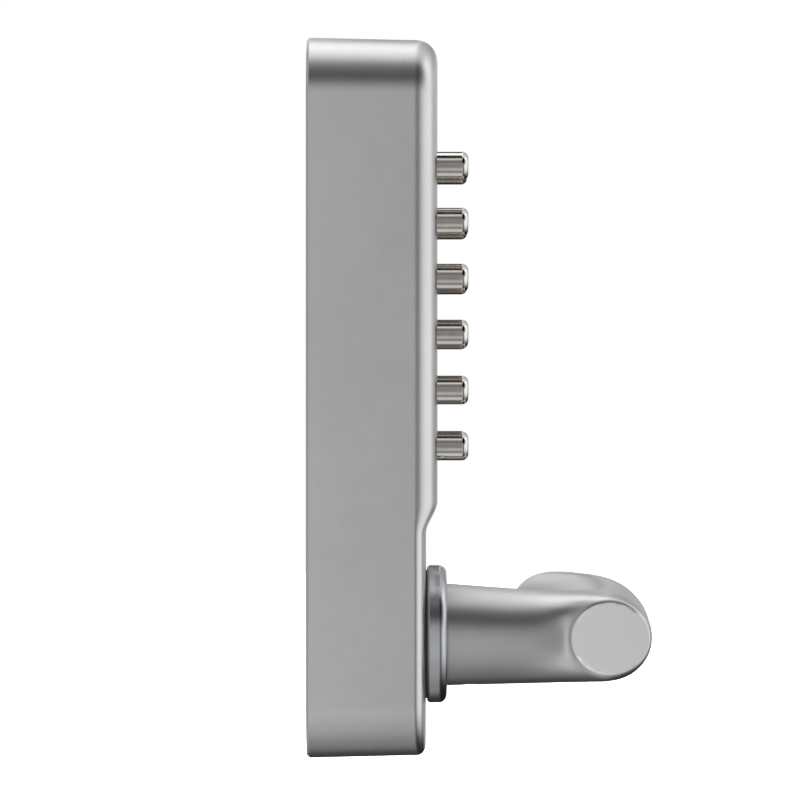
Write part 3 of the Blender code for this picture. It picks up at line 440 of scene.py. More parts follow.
def satin_plating(name, tones, rough):
    """Die-cast zinc, bead blasted and plated: soft clouds, fine grain, and small rubbed places."""
    finish = Finish(name)
    place = finish.place()
    clouds = finish.noise(place, scale=26.0, detail=3.0)
    skin = finish.noise(place, scale=5200.0, detail=2.0, roughness=0.6)
    patches = finish.noise(place, scale=210.0, detail=4.0, roughness=0.55)
    tone = finish.eased(clouds * 0.6 + patches * 0.25 + skin * 0.15, low=0.34, high=0.66)
    colour = finish.mix(tone, *tones)
    roughness = rough - 0.03 + clouds * 0.03 + patches * 0.02 + skin * 0.02
    normal = finish.bump(skin * 0.7 + patches * 0.3, distance=0.012 * MM, strength=0.6)
    return finish, colour, roughness, normal


def case_finish():
    finish, colour, roughness, normal = satin_plating("satin_zinc_case", CASE_TONES, rough=0.32)
    return finish.surface(Base_Color=colour, Metallic=1.0, Roughness=roughness, Normal=normal)


def lever_finish():
    """The same plating, with a painted highlight: the flat end's colour is raised towards white, standing
    for the bright reflection it catches.
    """
    finish, colour, roughness, normal = satin_plating("satin_zinc_lever", LEVER_TONES, rough=0.37)
    x, y = finish.parts(finish.place())[:2]
    near, far = (share * END_HALF_DEPTH - GRIP_DEPTH for share in FLAT_END_SHARES)
    # Painted highlight: the flat end's colour goes towards white, standing for its bright reflection
    flat_end = finish.eased(x, FLAT_END_FADE - GRIP_END, -GRIP_END) * finish.eased(y, near, far)
    colour = finish.mix(flat_end, colour, END_HIGHLIGHT_TONE)
    roughness = roughness + flat_end * 0.04
    return finish.surface(Base_Color=colour, Metallic=1.0, Roughness=roughness, Normal=normal)


def rose_finish():
    """Steel, turned and darkened: fine rings round the lever's axis."""
    finish = Finish("turned_rose_steel")
    place = finish.place()
    x, y, z = finish.parts(place)
    rise = z - LEVER_HEIGHT
    radius = (x * x + rise * rise) ** 0.5
    rings = finish.noise(finish.joined(radius, y, 0.0), scale=3400.0, detail=2.0)
    clouds = finish.noise(place, scale=60.0, detail=3.0)
    colour = finish.mix(clouds, *ROSE_TONES)
    return finish.surface(
        Base_Color=colour, Metallic=1.0, Roughness=0.20 + rings * 0.06 + clouds * 0.04,
        Normal=finish.bump(rings, distance=0.006 * MM, strength=0.5),
    )


def button_finish():
    """Bright nickel-chrome on turned brass, with faint tool rings and a few hairlines."""
    finish = Finish("bright_button_chrome")
    place = finish.place()
    y = finish.parts(place)[1]
    rings = finish.noise(finish.joined(0.0, y, 0.0), scale=5200.0, detail=1.0)
    smears = finish.noise(place, scale=420.0, detail=3.0)
    colour = finish.mix(smears, *CHROME_TONES)
    return finish.surface(
        Base_Color=colour, Metallic=1.0, Roughness=0.04 + smears * 0.04 + rings * 0.02,
        Normal=finish.bump(rings, distance=0.001 * MM, strength=0.3),
    )


def plated_finish():
    """Bright zinc plating on pressed steel: long rolling lines and a faint warm cast."""
    finish = Finish("zinc_plated_steel")
    place = finish.place()
    lines = finish.noise(finish.stretched(place, (3000.0, 3000.0, 90.0)), scale=1.0, detail=3.0)
    clouds = finish.noise(place, scale=75.0, detail=4.0)
    drawn = finish.eased(lines, low=0.34, high=0.66)
    colour = finish.mix(drawn, finish.mix(clouds, *DRAWN_TONES), finish.mix(clouds, *PLATED_TONES))
    return finish.surface(
        Base_Color=colour, Metallic=1.0, Roughness=0.22 + drawn * 0.14 + clouds * 0.06,
        Normal=finish.bump(lines, distance=0.006 * MM, strength=0.5),
    )


def spring_finish():
    """Drawn spring wire."""
    finish = Finish("spring_wire")
    place = finish.place()
    drawn = finish.noise(place, scale=2600.0, detail=2.0)
    clouds = finish.noise(place, scale=130.0, detail=2.0)
    colour = finish.mix(clouds, *SPRING_TONES)
    return finish.surface(
        Base_Color=colour, Metallic=1.0, Roughness=0.22 + drawn * 0.12,
        Normal=finish.bump(drawn, distance=0.004 * MM, strength=0.4),
    )


def brass_finish():
    """Stamped brass, slightly tarnished."""
    finish = Finish("tumbler_brass")
    place = finish.place()
    lines = finish.noise(finish.stretched(place, (900.0, 5200.0, 900.0)), scale=1.0, detail=2.0)
    tarnish = finish.noise(place, scale=260.0, detail=4.0)
    colour = finish.mix(tarnish, *BRASS_TONES)
    return finish.surface(
        Base_Color=colour, Metallic=1.0, Roughness=0.24 + lines * 0.10 + tarnish * 0.06,
        Normal=finish.bump(lines, distance=0.004 * MM, strength=0.5),
    )


def cast_finish():
    """Bare die-cast zinc, as it leaves the mould."""
    finish = Finish("bare_cast_zinc")
    place = finish.place()
    flow = finish.noise(place, scale=90.0, detail=5.0, roughness=0.6)
    skin = finish.noise(place, scale=2400.0, detail=3.0, roughness=0.6)
    colour = finish.mix(flow, *CAST_TONES)
    return finish.surface(
        Base_Color=colour, Metallic=0.9, Roughness=0.42 + skin * 0.14,
        Normal=finish.bump(skin, distance=0.02 * MM, strength=0.6),
    )


def nylon_finish():
    """Black moulded nylon."""
    finish = Finish("black_nylon")
    place = finish.place()
    skin = finish.noise(place, scale=3000.0, detail=3.0)
    clouds = finish.noise(place, scale=200.0, detail=3.0)
    colour = finish.mix(clouds, *NYLON_TONES)
    return finish.surface(
        Base_Color=colour, Roughness=0.42 + skin * 0.18,
        Normal=finish.bump(skin, distance=0.01 * MM, strength=0.5),
    )


def blackened_finish():
    """Blackened and oiled steel."""
    finish = Finish("blackened_steel")
    place = finish.place()
    oil = finish.noise(place, scale=480.0, detail=4.0)
    skin = finish.noise(place, scale=3600.0, detail=2.0)
    colour = finish.mix(oil, *BLACKENED_TONES)
    return finish.surface(
        Base_Color=colour, Metallic=0.9, Roughness=0.34 + skin * 0.16 + oil * 0.06,
        Normal=finish.bump(skin, distance=0.006 * MM, strength=0.5),
    )


def enamel_finish():
    """Black enamel in the numbers, a little matt and dusty."""
    finish = Finish("number_enamel")
    place = finish.place()
    dust = finish.noise(place, scale=1500.0, detail=3.0)
    colour = finish.mix(dust, *ENAMEL_TONES)
    return finish.surface(
        Base_Color=colour, Roughness=0.45 + dust * 0.2,
        Normal=finish.bump(dust, distance=0.004 * MM, strength=0.4),
    )


# Shapes, written as (x, height, depth) of the lock

def shaped(name, form):
    """An object from a form: turned from the lock's axes to the row's, and smooth between sharp edges."""
    bmesh.ops.recalc_face_normals(form, faces=form.faces)
    bmesh.ops.rotate(form, verts=form.verts, cent=(0, 0, 0), matrix=Matrix.Rotation(QUARTER, 3, "X"))
    mesh = bpy.data.meshes.new(name)
    form.to_mesh(mesh)
    form.free()
    mesh.shade_smooth()
    mesh.set_sharp_from_angle(angle=SHARP_ANGLE)
    obj = bpy.data.objects.new(name, mesh)
    scene.collection.objects.link(obj)
    return obj


def arc(centre_x, centre_y, radius, start, end, steps):
    angles = [start + (end - start) * i / steps for i in range(steps + 1)]
    return [(centre_x + radius * math.cos(a), centre_y + radius * math.sin(a)) for a in angles]


def loft(rings, closed=False):
    """Joins rings of equally many points with quads. Open lofts get flat ends."""
    form = bmesh.new()
    loops = [[form.verts.new(point) for point in ring] for ring in rings]
    pairs = list(zip(loops, loops[1:]))
    if closed:
        pairs.append((loops[-1], loops[0]))
    for one, other in pairs:
        join_rings(form, one, other)
    if not closed:
        form.faces.new(loops[0])
        form.faces.new(loops[-1])
    return form


def join_rings(form, one, other, skipped=()):
    """Quads between two rings. The skipped sides stay open."""
    count = len(one)
    for i in range(count):
        if i not in skipped:
            j = (i + 1) % count
            form.faces.new((one[i], one[j], other[j], other[i]))


def turned(profile, x, height, steps=TURNED_STEPS, closed=False):
    """A lathe form about the depth axis, from (radius, depth) points."""
    rings = []
    for radius, depth in profile:
        points = arc(x, height, radius, 0, TURN, steps)[:-1]
        rings.append([Vector((px, py, depth)) for px, py in points])
    return loft(rings, closed)


def rods(centres, radius, back, front, steps=TURNED_STEPS):
    """Parallel round rods in one form."""
    whole = bmesh.new()
    for x, height in centres:
        part = turned([(radius, back), (radius, front)], x, height, steps)
        add_form(whole, part)
    return whole


def add_form(whole, part):
    """Adds a form to another one."""
    mesh = bpy.data.meshes.new("part")
    part.to_mesh(mesh)
    part.free()
    whole.from_mesh(mesh)
    bpy.data.meshes.remove(mesh)


def cut_away(obj, *forms):
    """Takes each form out of a piece, for good."""
    for form in forms:
        tool = shaped("tool", form)
        step = obj.modifiers.new("cut", "BOOLEAN")
        step.operation = "DIFFERENCE"
        step.solver = "EXACT"
        step.object = tool
        settle(obj)
        bpy.data.objects.remove(tool)


def settle(obj):
    """Turns what the modifiers make into the piece's own mesh."""
    ready = obj.evaluated_get(bpy.context.evaluated_depsgraph_get())
    mesh = bpy.data.meshes.new_from_object(ready)
    obj.modifiers.clear()
    obj.data = mesh


def even_shading(obj):
    """Keeps flat faces flat beside round ones."""
    obj.data.shade_smooth()
    obj.data.set_sharp_from_angle(angle=SHARP_ANGLE)
    step = obj.modifiers.new("even_shading", "WEIGHTED_NORMAL")
    step.keep_sharp = True
    return obj


def dress(obj, finish, body, slot, *stands_for):
    """Gives a piece its finish, its body and the nodes that it stands for."""
    obj.data.materials.clear()
    obj.data.materials.append(finish)
    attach(obj, body)
    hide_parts(*stands_for)
    return obj


# Case

def crowned(x, depth):
    """Depth of a face at x. It falls a little towards both sides."""
    return depth - x * x / (2 * CROWN_RADIUS)


def step_blend(height, low, high):
    """Depth over the soft step, from the low face up to the high one."""
    share = min(max((height - STEP_BOTTOM) / STEP_HEIGHT, 0), 1)
    return low + (high - low) * (1 - math.cos(math.pi * share)) / 2


def step_stations(count):
    """Heights of the rows over the step, from its top down."""
    return [STEP_BOTTOM + STEP_HEIGHT * (count - i) / count for i in range(count + 1)]


def case_rows(half_width, half_height, corner, inset, steps, stations):
    """(height, half width) of each row of a rectangle with round corners.

    The inset is a function of the height.
    """
    middle = half_height - corner
    rows = []
    for side in (1, -1):
        ends = arc(0, 0, corner - inset(side * middle), 0, QUARTER, steps)
        rows.append([(side * (middle + ahead), half_width - corner + aside) for ahead, aside in ends])
    sides = [(height, half_width - inset(height)) for height in stations]
    return rows[0] + sides + rows[1][::-1]


def face_grid(form, points, rim):
    """Fills a grid of points with quads, inside the vertices of its rim."""
    last_row = len(points) - 1
    last_column = len(points[0]) - 1
    made = dict(rim)
    for i in range(last_row + 1):
        for j in range(last_column + 1):
            if (i, j) not in made:
                made[i, j] = form.verts.new(points[i][j])
    for i in range(last_row):
        for j in range(last_column):
            form.faces.new((made[i, j], made[i, j + 1], made[i + 1, j + 1], made[i + 1, j]))


def rim_places(last_row, last_column):
    """The outer places of a grid, in order round it."""
    ring = [(0, j) for j in range(last_column + 1)]
    ring += [(i, last_column) for i in range(1, last_row)]
    ring += [(last_row, j) for j in reversed(range(last_column + 1))]
    ring += [(i, 0) for i in reversed(range(1, last_row))]
    return ring


def moulded(half_width, half_height, corner, edge, back, face, steps, edge_steps, columns, stations, lip):
    """A drafted box with round corners and a front surface face(x, height), met through a round edge.

    The round edge starts at one depth all the way round, so it is narrower where the face is set back.
    """
    shares = [2 * i / columns - 1 for i in range(columns + 1)]
    form = bmesh.new()
    deep = max(face(0, height) for height in (half_height - corner, corner - half_height))
    draft = DRAFT_SHARE * (deep - edge)

    def edge_at(height):
        return edge - (deep - face(0, height))

    def level(inset, drop_share, depth=None):
        middle = half_width - corner
        grid = []
        for height, half in case_rows(half_width, half_height, corner, inset, steps, stations):
            points = [-half, *[middle * share for share in shares[1:-1]], half]
            drop = drop_share * edge_at(height)
            grid.append([(x, height, face(x, height) - drop if depth is None else depth) for x in points])
        return grid

    levels = [level(lambda height: 0, 0, back + lip)]
    if lip:
        levels.insert(0, level(lambda height: lip, 0, back))
    for i in range(edge_steps + 1):
        angle = QUARTER * i / edge_steps
        part = 1 - math.cos(angle)
        levels.append(level(lambda height: draft + edge_at(height) * part, 1 - math.sin(angle)))
    ring = rim_places(len(levels[0]) - 1, columns)
    loops = [[form.verts.new(grid[i][j]) for i, j in ring] for grid in levels]
    for one, other in zip(loops, loops[1:]):
        join_rings(form, one, other)
    form.faces.new(loops[0])
    face_grid(form, levels[-1], dict(zip(ring, loops[-1])))
    return form


def case_room():
    """The hollow, round its pillars, posts and bearing boss."""
    room = shaped("case_room", moulded(
        half_width=HALF_WIDTH - SIDE_WALL,
        half_height=HALF_HEIGHT - SIDE_WALL,
        corner=CORNER_RADIUS - SIDE_WALL,
        edge=EDGE_RADIUS - SIDE_WALL + GAP,
        back=-OVERRUN,
        face=lambda x, height: step_blend(height, FOOT_INNER, INNER_FRONT),
        steps=ROOM_CORNER_STEPS,
        edge_steps=ROOM_EDGE_STEPS,
        columns=ROOM_COLUMNS,
        stations=step_stations(ROOM_STEP_ROWS),
        lip=0,
    ))
    front = KEYPAD_DEPTH + OVERRUN
    cut_away(
        room,
        rods(stack_places(), PILLAR_RADIUS, PILLAR_BACK, front),
        rods(plate_screw_places(), PILLAR_RADIUS, BACK_PLATE + GAP, front),
        rods(post_places(), POST_RADIUS, BACK_PLATE + GAP, front),
        rods(lever_places(), BOSS_OUTER, BOSS_REAR, front, LARGE_STEPS),
    )
    return room


def stack_places():
    return [(side * STACK_X, height) for height in STACK_ROWS for side in (-1, 1)]


def plate_screw_places():
    x, height = PLATE_SCREW_PLACE
    return [(x, height), (-x, -height)]


def post_places():
    return [(0, POST_HEIGHT), (0, -POST_HEIGHT)]


def lever_places():
    return [(0, LEVER_HEIGHT)]


def button_places():
    return [(side * COLUMN_X, TOP_ROW - row * ROW_PITCH) for side in (-1, 1) for row in range(ROWS)]


def button_holes():
    """Each hole opens a little at the face."""
    whole = bmesh.new()
    radius = BUTTON_RADIUS + SLIDE_GAP
    mouth = radius + 2 * HOLE_CHAMFER
    for x, height in button_places():
        face = crowned(x, KEYPAD_DEPTH)
        profile = [
            (radius, COLLAR_BACK), (radius, face - HOLE_CHAMFER),
            (mouth, face + HOLE_CHAMFER), (mouth, face + OVERRUN),
        ]
        add_form(whole, turned(profile, x, height))
    return whole


def moulded_case(finish):
    """The case, hollow inside, with bores for the buttons, the lever and the screws."""
    case = shaped("moulded_case", moulded(
        half_width=HALF_WIDTH,
        half_height=HALF_HEIGHT,
        corner=CORNER_REACH,
        edge=EDGE_RADIUS,
        back=0.0,
        face=lambda x, height: crowned(x, step_blend(height, FOOT_DEPTH, KEYPAD_DEPTH)),
        steps=CORNER_STEPS,
        edge_steps=EDGE_STEPS,
        columns=FACE_COLUMNS,
        stations=step_stations(STEP_ROWS),
        lip=RIM_CHAMFER,
    ))
    room = case_room()
    step = case.modifiers.new("room", "BOOLEAN")
    step.solver = "EXACT"
    step.object = room
    settle(case)
    bpy.data.objects.remove(room)
    front = KEYPAD_DEPTH + OVERRUN
    screw_bore = SCREW_RADIUS + GAP
    cut_away(
        case,
        button_holes(),
        rods(lever_places(), BOSS_BORE, BOSS_REAR - OVERRUN, front, LARGE_STEPS),
        rods(lever_places(), FLANGE_RADIUS + GAP, FLANGE_BACK - GAP, front, LARGE_STEPS),
        rods(stack_places(), screw_bore, PILLAR_BACK - OVERRUN, PILLAR_BACK + SCREW_GRIP + GAP),
        rods(plate_screw_places(), screw_bore, BACK_PLATE - OVERRUN, PLATE_SCREW_LENGTH + OVERRUN),
        rods(post_places(), POST_BORE, BACK_PLATE - OVERRUN, POST_BORE_DEPTH),
    )
    dress(even_shading(case), finish, "lock_case", "satin_zinc", "front_case")


# Buttons, rose and bush

def chrome_buttons(finish):
    """Each button is one turned piece: cap, collar, catch and stem."""
    tip = KEYPAD_DEPTH + BUTTON_REACH
    profile = [
        (STEM_RADIUS, STEM_BACK), (STEM_RADIUS, CATCH_BACK), (CATCH_RADIUS, CATCH_BACK),
        (CATCH_RADIUS, COLLAR_BACK), (COLLAR_RADIUS, COLLAR_BACK), (COLLAR_RADIUS, COLLAR_FRONT),
        (BUTTON_RADIUS, COLLAR_FRONT),
        *arc(BUTTON_RADIUS - BUTTON_ROUND, tip - BUTTON_ROUND, BUTTON_ROUND, 0, QUARTER, ROUND_STEPS),
        (DISH_RADIUS, tip - BUTTON_DISH),
    ]
    for number, (x, height) in enumerate(button_places(), start=1):
        name = f"button_{number:02d}"
        button = shaped("chrome_" + name, turned(profile, x, height))
        dress(even_shading(button), finish, name, "chrome", name)


def turned_rose(finish):
    """The round plate round the lever's neck, recessed behind its rim."""
    recess = ROSE_BACK + ROSE_RECESS
    rim = ROSE_RADIUS - ROSE_RIM
    profile = [
        (ROSE_BORE, recess), (rim, recess), (rim, ROSE_BACK),
        (ROSE_RADIUS - ROSE_CHAMFER, ROSE_BACK), (ROSE_RADIUS, ROSE_BACK + ROSE_CHAMFER),
        *arc(ROSE_RADIUS - ROSE_ROUND, ROSE_FRONT - ROSE_ROUND, ROSE_ROUND, 0, QUARTER, ROUND_STEPS),
        (ROSE_BORE, ROSE_FRONT),
    ]
    rose = shaped("turned_rose", turned(profile, 0, LEVER_HEIGHT, LARGE_STEPS, closed=True))
    dress(even_shading(rose), finish, "lock_case", "rose_steel", "lever_rose")


def nylon_bush(finish):
    """The bush. Its flange and collar show as the dark line behind the rose."""
    front = ROSE_BACK + ROSE_RECESS - GAP
    profile = [
        (BUSH_RADIUS, BOSS_REAR), (BUSH_OUTER, BOSS_REAR), (BUSH_OUTER, FLANGE_BACK),
        (FLANGE_RADIUS, FLANGE_BACK), (FLANGE_RADIUS, front), (ROSE_BORE, front),
        (ROSE_BORE, FOOT_DEPTH), (BUSH_RADIUS, FOOT_DEPTH),
    ]
    bush = shaped("nylon_bush", turned(profile, 0, LEVER_HEIGHT, LARGE_STEPS, closed=True))
    dress(even_shading(bush), finish, "lock_case", "black_nylon", "lever_bush")


# Lever

def cage_ring(centre, across, half_across, half_height, rear_height=None):
    """Control points round a section: across is a direction in plan, and the rear is the other way.

    Smoothing draws a ring in, so its points stand further out than the section.
    """
    grown = 1 / (2 / 3 + math.cos(TURN / CAGE_SIDES) / 3)
    points = []
    for i in range(CAGE_SIDES):
        angle = TURN * (i + 0.5) / CAGE_SIDES
        height = rear_height if rear_height and math.cos(angle) < 0 else half_height
        sideways = across * (half_across * grown * math.cos(angle))
        upwards = Vector((0, height * grown * math.sin(angle), 0))
        points.append(centre + sideways + upwards)
    return points


def grip_sections():
    """Control rings of the grip from its flat end to its round tip, in depths from the rose's back."""
    reach = GRIP_DEPTH - ROSE_BACK
    out = Vector((0, 0, 1))

    def section(x, rear_height=None):
        along = max(x, 0) / BEND_START
        size = NEAR_SHARE + (1 - NEAR_SHARE) * along
        bow = GRIP_BOW * math.sin(math.pi * along * BOW_SHARE)
        centre = Vector((x, GRIP_DROP * (along - 1), reach + bow))
        return cage_ring(centre, out, GRIP_HALF_DEPTH * size, GRIP_HALF_HEIGHT * size, rear_height)

    flat = Vector((-GRIP_END, -GRIP_DROP, reach))
    rings = [cage_ring(flat, out, END_HALF_DEPTH, END_HALF_HEIGHT)]
    rings.append(section(END_ROUND - GRIP_END, rear_height=NECK_TIP_RADIUS))
    rings.append(section(GRIP_END - END_ROUND, rear_height=NECK_TIP_RADIUS))
    rings += [section(BEND_START * share) for share in GRIP_SHARES]
    bend_depth = reach + GRIP_BOW * math.sin(math.pi * BOW_SHARE)
    for share in BEND_SHARES:
        turn = BEND_ANGLE * share
        across = Vector((math.sin(turn), 0, math.cos(turn)))
        centre = Vector((BEND_START, 0, bend_depth - BEND_RADIUS)) + across * BEND_RADIUS
        rings.append(cage_ring(centre, across, GRIP_HALF_DEPTH, GRIP_HALF_HEIGHT))
    heading = Vector((math.cos(BEND_ANGLE), 0, -math.sin(BEND_ANGLE)))
    for forward, size in TIP_SHARES:
        tip = centre + heading * GRIP_HALF_DEPTH * forward
        rings.append(cage_ring(tip, across, GRIP_HALF_DEPTH * size, GRIP_HALF_HEIGHT * size))
    return rings


def lever_cage():
    """Control cage of the lever: the neck runs into the side of the grip, whose near end is cut flat."""
    form = bmesh.new()
    loops = [[form.verts.new(point) for point in ring] for ring in grip_sections()]
    near, far = loops[1], loops[2]
    for one, other in zip(loops, loops[1:]):
        join_rings(form, one, other, NECK_SIDES if one is near else ())
    form.faces.new(loops[0])
    form.faces.new(loops[-1])
    # The opening's rim, in the order of the neck's rings
    mouth = [far[3], far[2], near[2], near[3], near[4], near[5], far[5], far[4]]
    join = GRIP_DEPTH - ROSE_BACK - NECK_JOIN_SHARE * GRIP_HALF_DEPTH
    ring = mouth
    for share in NECK_SHARES:
        radius = NECK_ROOT_RADIUS + (NECK_TIP_RADIUS - NECK_ROOT_RADIUS) * share
        centre = Vector((0, -NECK_DROP * share, join * share))
        points = cage_ring(centre, Vector((1, 0, 0)), radius, radius)
        previous = ring
        ring = [form.verts.new(point) for point in points]
        join_rings(form, previous, ring)
    form.faces.new(ring)
    crease = form.edges.layers.float.new("crease_edge")
    for rim in (ring, loops[0]):
        for i in range(len(rim)):
            edge = form.edges.get((rim[i], rim[(i + 1) % len(rim)]))
            edge[crease] = 1.0
    return form


def upright_rod(radius, length):
    """A rod down from the lever's axis, at the grub screw's depth."""
    points = arc(0, ROSE_FRONT + GRUB_OFFSET, radius, 0, TURN, GRUB_STEPS)[:-1]
    return loft([[Vector((x, LEVER_HEIGHT - drop, depth)) for x, depth in points] for drop in (0, length)])


def cast_lever(finish):
    """The smoothed cage, with bores for the hub and the grub screw."""
    form = lever_cage()
    bmesh.ops.translate(form, verts=form.verts, vec=(0, LEVER_HEIGHT, ROSE_BACK))
    lever = shaped("cast_lever", form)
    smooth = lever.modifiers.new("smooth", "SUBSURF")
    smooth.levels = LEVER_LEVELS
    smooth.render_levels = LEVER_LEVELS
    settle(lever)
    socket = rods(lever_places(), STUB_RADIUS + BORE_GAP, ROSE_BACK - OVERRUN, ROSE_BACK + STUB_LENGTH)
    cut_away(lever, socket, upright_rod(GRUB_RADIUS + GAP, NECK_ROOT_RADIUS + OVERRUN))
    dress(even_shading(lever), finish, "lever", "satin_zinc", "lever_handle")


# Screws

def ridges(radius, start, end):
    """A thread, as rings round a shank."""
    points = []
    for i in range(round((end - start) / RIDGE_PITCH)):
        depth = start + RIDGE_PITCH * i
        points += [(radius - RIDGE, depth), (radius, depth + RIDGE_PITCH / 2)]
    return [*points, (radius - RIDGE, end)]


def cross_recess(x, height, back):
    """The tapered cross that a screwdriver fits."""
    arm = ((1, -CROSS_ARM_SHARE), (1, CROSS_ARM_SHARE), (CROSS_ARM_SHARE, CROSS_ARM_SHARE))
    rings = []
    for depth, size in ((back - OVERRUN, 1), (back + RIDGE, 1), (back + CROSS_DEPTH, CROSS_TAPER_SHARE)):
        ring = []
        for quarter in range(4):
            turn = Matrix.Rotation(QUARTER * quarter, 2)
            ring += [turn @ Vector(corner) * (CROSS_REACH * size) for corner in arm]
        rings.append([Vector((x + point.x, height + point.y, depth)) for point in ring])
    return loft(rings)


def cross_screw(name, finish, slot, profile, x, height, back):
    """A turned screw with a cross in its head."""
    screw = shaped(name + "_dressed", turned(profile, x, height))
    cut_away(screw, cross_recess(x, height, back))
    dress(even_shading(screw), finish, nodes[name]["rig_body"], slot, name)


def cross_screws(plated, blackened):
    """Countersunk screws in the back plate, and long ones that hold the inner plates together."""
    back = GAP / 2
    sunk = back + SCREW_HEAD_RADIUS - SCREW_RADIUS
    profile = [(SCREW_HEAD_RADIUS, back), *ridges(SCREW_RADIUS, sunk, back + PLATE_SCREW_LENGTH)]
    for number, (x, height) in enumerate(plate_screw_places(), start=1):
        cross_screw(f"plate_screw_{number}", plated, "plated_steel", profile, x, height, back)
    back = STACK_SCREW_BACK
    tip = PILLAR_BACK + SCREW_GRIP
    profile = [
        (SCREW_HEAD_RADIUS - SCREW_CHAMFER, back), (SCREW_HEAD_RADIUS, back + SCREW_CHAMFER),
        (SCREW_HEAD_RADIUS, back + SCREW_HEAD), (SCREW_RADIUS, back + SCREW_HEAD),
        (SCREW_RADIUS, tip - STACK_THREAD), *ridges(SCREW_RADIUS, tip - STACK_THREAD, tip),
    ]
    for number, (x, height) in enumerate(stack_places(), start=1):
        cross_screw(f"stack_screw_{number}", blackened, "dark_steel", profile, x, height, back)


def socket_screw(finish):
    """The grub screw, upright below the lever's axis, with its hexagon at the bottom."""
    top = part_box("grub_screw")[1].z

    def stood(form):
        bmesh.ops.rotate(form, verts=form.verts, cent=(0, 0, 0), matrix=Matrix.Rotation(QUARTER, 3, "X"))
        bmesh.ops.translate(form, verts=form.verts, vec=(0, top, ROSE_FRONT + GRUB_OFFSET))
        return form

    screw = shaped("grub_screw_dressed", stood(turned(ridges(GRUB_RADIUS, 0, GRUB_LENGTH), 0, 0)))
    recess = [(HEX_RADIUS, GRUB_LENGTH - HEX_DEPTH), (HEX_RADIUS, GRUB_LENGTH + OVERRUN)]
    cut_away(screw, stood(turned(recess, 0, 0, HEX_SIDES)))
    dress(even_shading(screw), finish, nodes["grub_screw"]["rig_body"], "dark_steel", "grub_screw")


# The other nodes, with their facets smoothed

def smooth_twin(name, finish, slot):
    """A copy of a node with its facets welded and shaded smooth, which stands for it."""
    node = nodes[name]
    form = bmesh.new()
    form.from_mesh(node.data)
    bmesh.ops.remove_doubles(form, verts=form.verts, dist=WELD)
    mesh = bpy.data.meshes.new(name + "_dressed")
    form.to_mesh(mesh)
    form.free()
    custom = mesh.attributes.get("custom_normal")
    if custom:
        mesh.attributes.remove(custom)
    twin = bpy.data.objects.new(mesh.name, mesh)
    scene.collection.objects.link(twin)
    return dress(even_shading(twin), finish, node["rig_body"], slot, name)


def shorten_springs(twins):
    """Gives each spring that the record names as deforming a mesh of its own."""
    for joint in frame["joints"]:
        for spring in joint.get("deforming_nodes", []):
            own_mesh(twins[spring["node"]])


def dress_inner_nodes():
    """Dresses the screws, and then each node that no fine piece stands for."""
    plated, spring, brass = plated_finish(), spring_finish(), brass_finish()
    cast, blackened = cast_finish(), blackened_finish()
    cross_screws(plated, blackened)
    socket_screw(blackened)
    families = {
        "button_spring": (spring, "spring_steel"), "return_spring": (spring, "spring_steel"),
        "hold_spring": (spring, "spring_steel"), "code_tumbler": (brass, "tumbler_brass"),
        "code_block": (cast, "cast_zinc"), "hub_circlip": (blackened, "dark_steel"),
    }
    twins = {}
    for name, node in nodes.items():
        if node.hide_render:
            continue
        finish, slot = next((made for family, made in families.items() if name.startswith(family)),
                            (plated, "plated_steel"))
        twins[name] = smooth_twin(name, finish, slot)
    shorten_springs(twins)


# Numbers beside the buttons

def button_numbers():
    """One number beside each button, turned to lie on the crowned face."""
    enamel = enamel_finish()
    for i, (button_x, height) in enumerate(button_places()):
        x = math.copysign(NUMBER_SIDE, button_x)
        slope = math.atan(x / CROWN_RADIUS)
        letters = bpy.data.curves.new(f"number_{i + 1:02d}", "FONT")
        letters.body = NUMBERS[i]
        letters.size = NUMBER_HEIGHT / CAPITAL_SHARE
        letters.align_x = "CENTER"
        letters.align_y = "CENTER"
        letters.extrude = NUMBER_THICK / 2
        letters.resolution_u = LETTER_STEPS
        piece = bpy.data.objects.new(letters.name, letters)
        scene.collection.objects.link(piece)
        depth = crowned(x, KEYPAD_DEPTH) + NUMBER_PROUD - NUMBER_THICK / 2
        turn = Matrix.Rotation(slope, 4, "Z") @ Matrix.Rotation(QUARTER, 4, "X")
        piece.matrix_world = Matrix.Translation((x, -depth, height)) @ turn
        letters.materials.append(enamel)
        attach(piece, "lock_case")


# Studio

def staged(name, form):
    """A piece of the studio, which is no part of the lock."""
    mesh = bpy.data.meshes.new(name)
    form.to_mesh(mesh)
    form.free()
    obj = bpy.data.objects.new(name, mesh)
    scene.collection.objects.link(obj)
    return obj


def studio_floor():
    """A pale table, low enough for the lever to swing above it."""
    form = bmesh.new()
    bmesh.ops.create_circle(form, cap_ends=True, radius=FLOOR_RADIUS, segments=FLOOR_STEPS)
    floor = staged("studio_floor", form)
    floor.location.z = LEVER_HEIGHT - cad_box[1].x
    finish = Finish("pale_floor")
    place = finish.place()
    speckle = finish.noise(place, scale=900.0, detail=2.0)
    colour = finish.mix(speckle, *FLOOR_TONES)
    floor.data.materials.append(finish.surface(
        Base_Color=colour, Roughness=0.75, Emission_Color=colour, Emission_Strength=0.55,
    ))
    floor.visible_glossy = False


def tent_levels(finish, rise, rows):
    """The brightness at each turn round the lever's cross axis."""
    stops = [((turn + 180) / 360, (level / TENT_SCALE,) * 3) for turn, level in rows]
    return finish.node("ShaderNodeValToRGB", {"stops": stops}, {0: rise * 0.5 + 0.5})


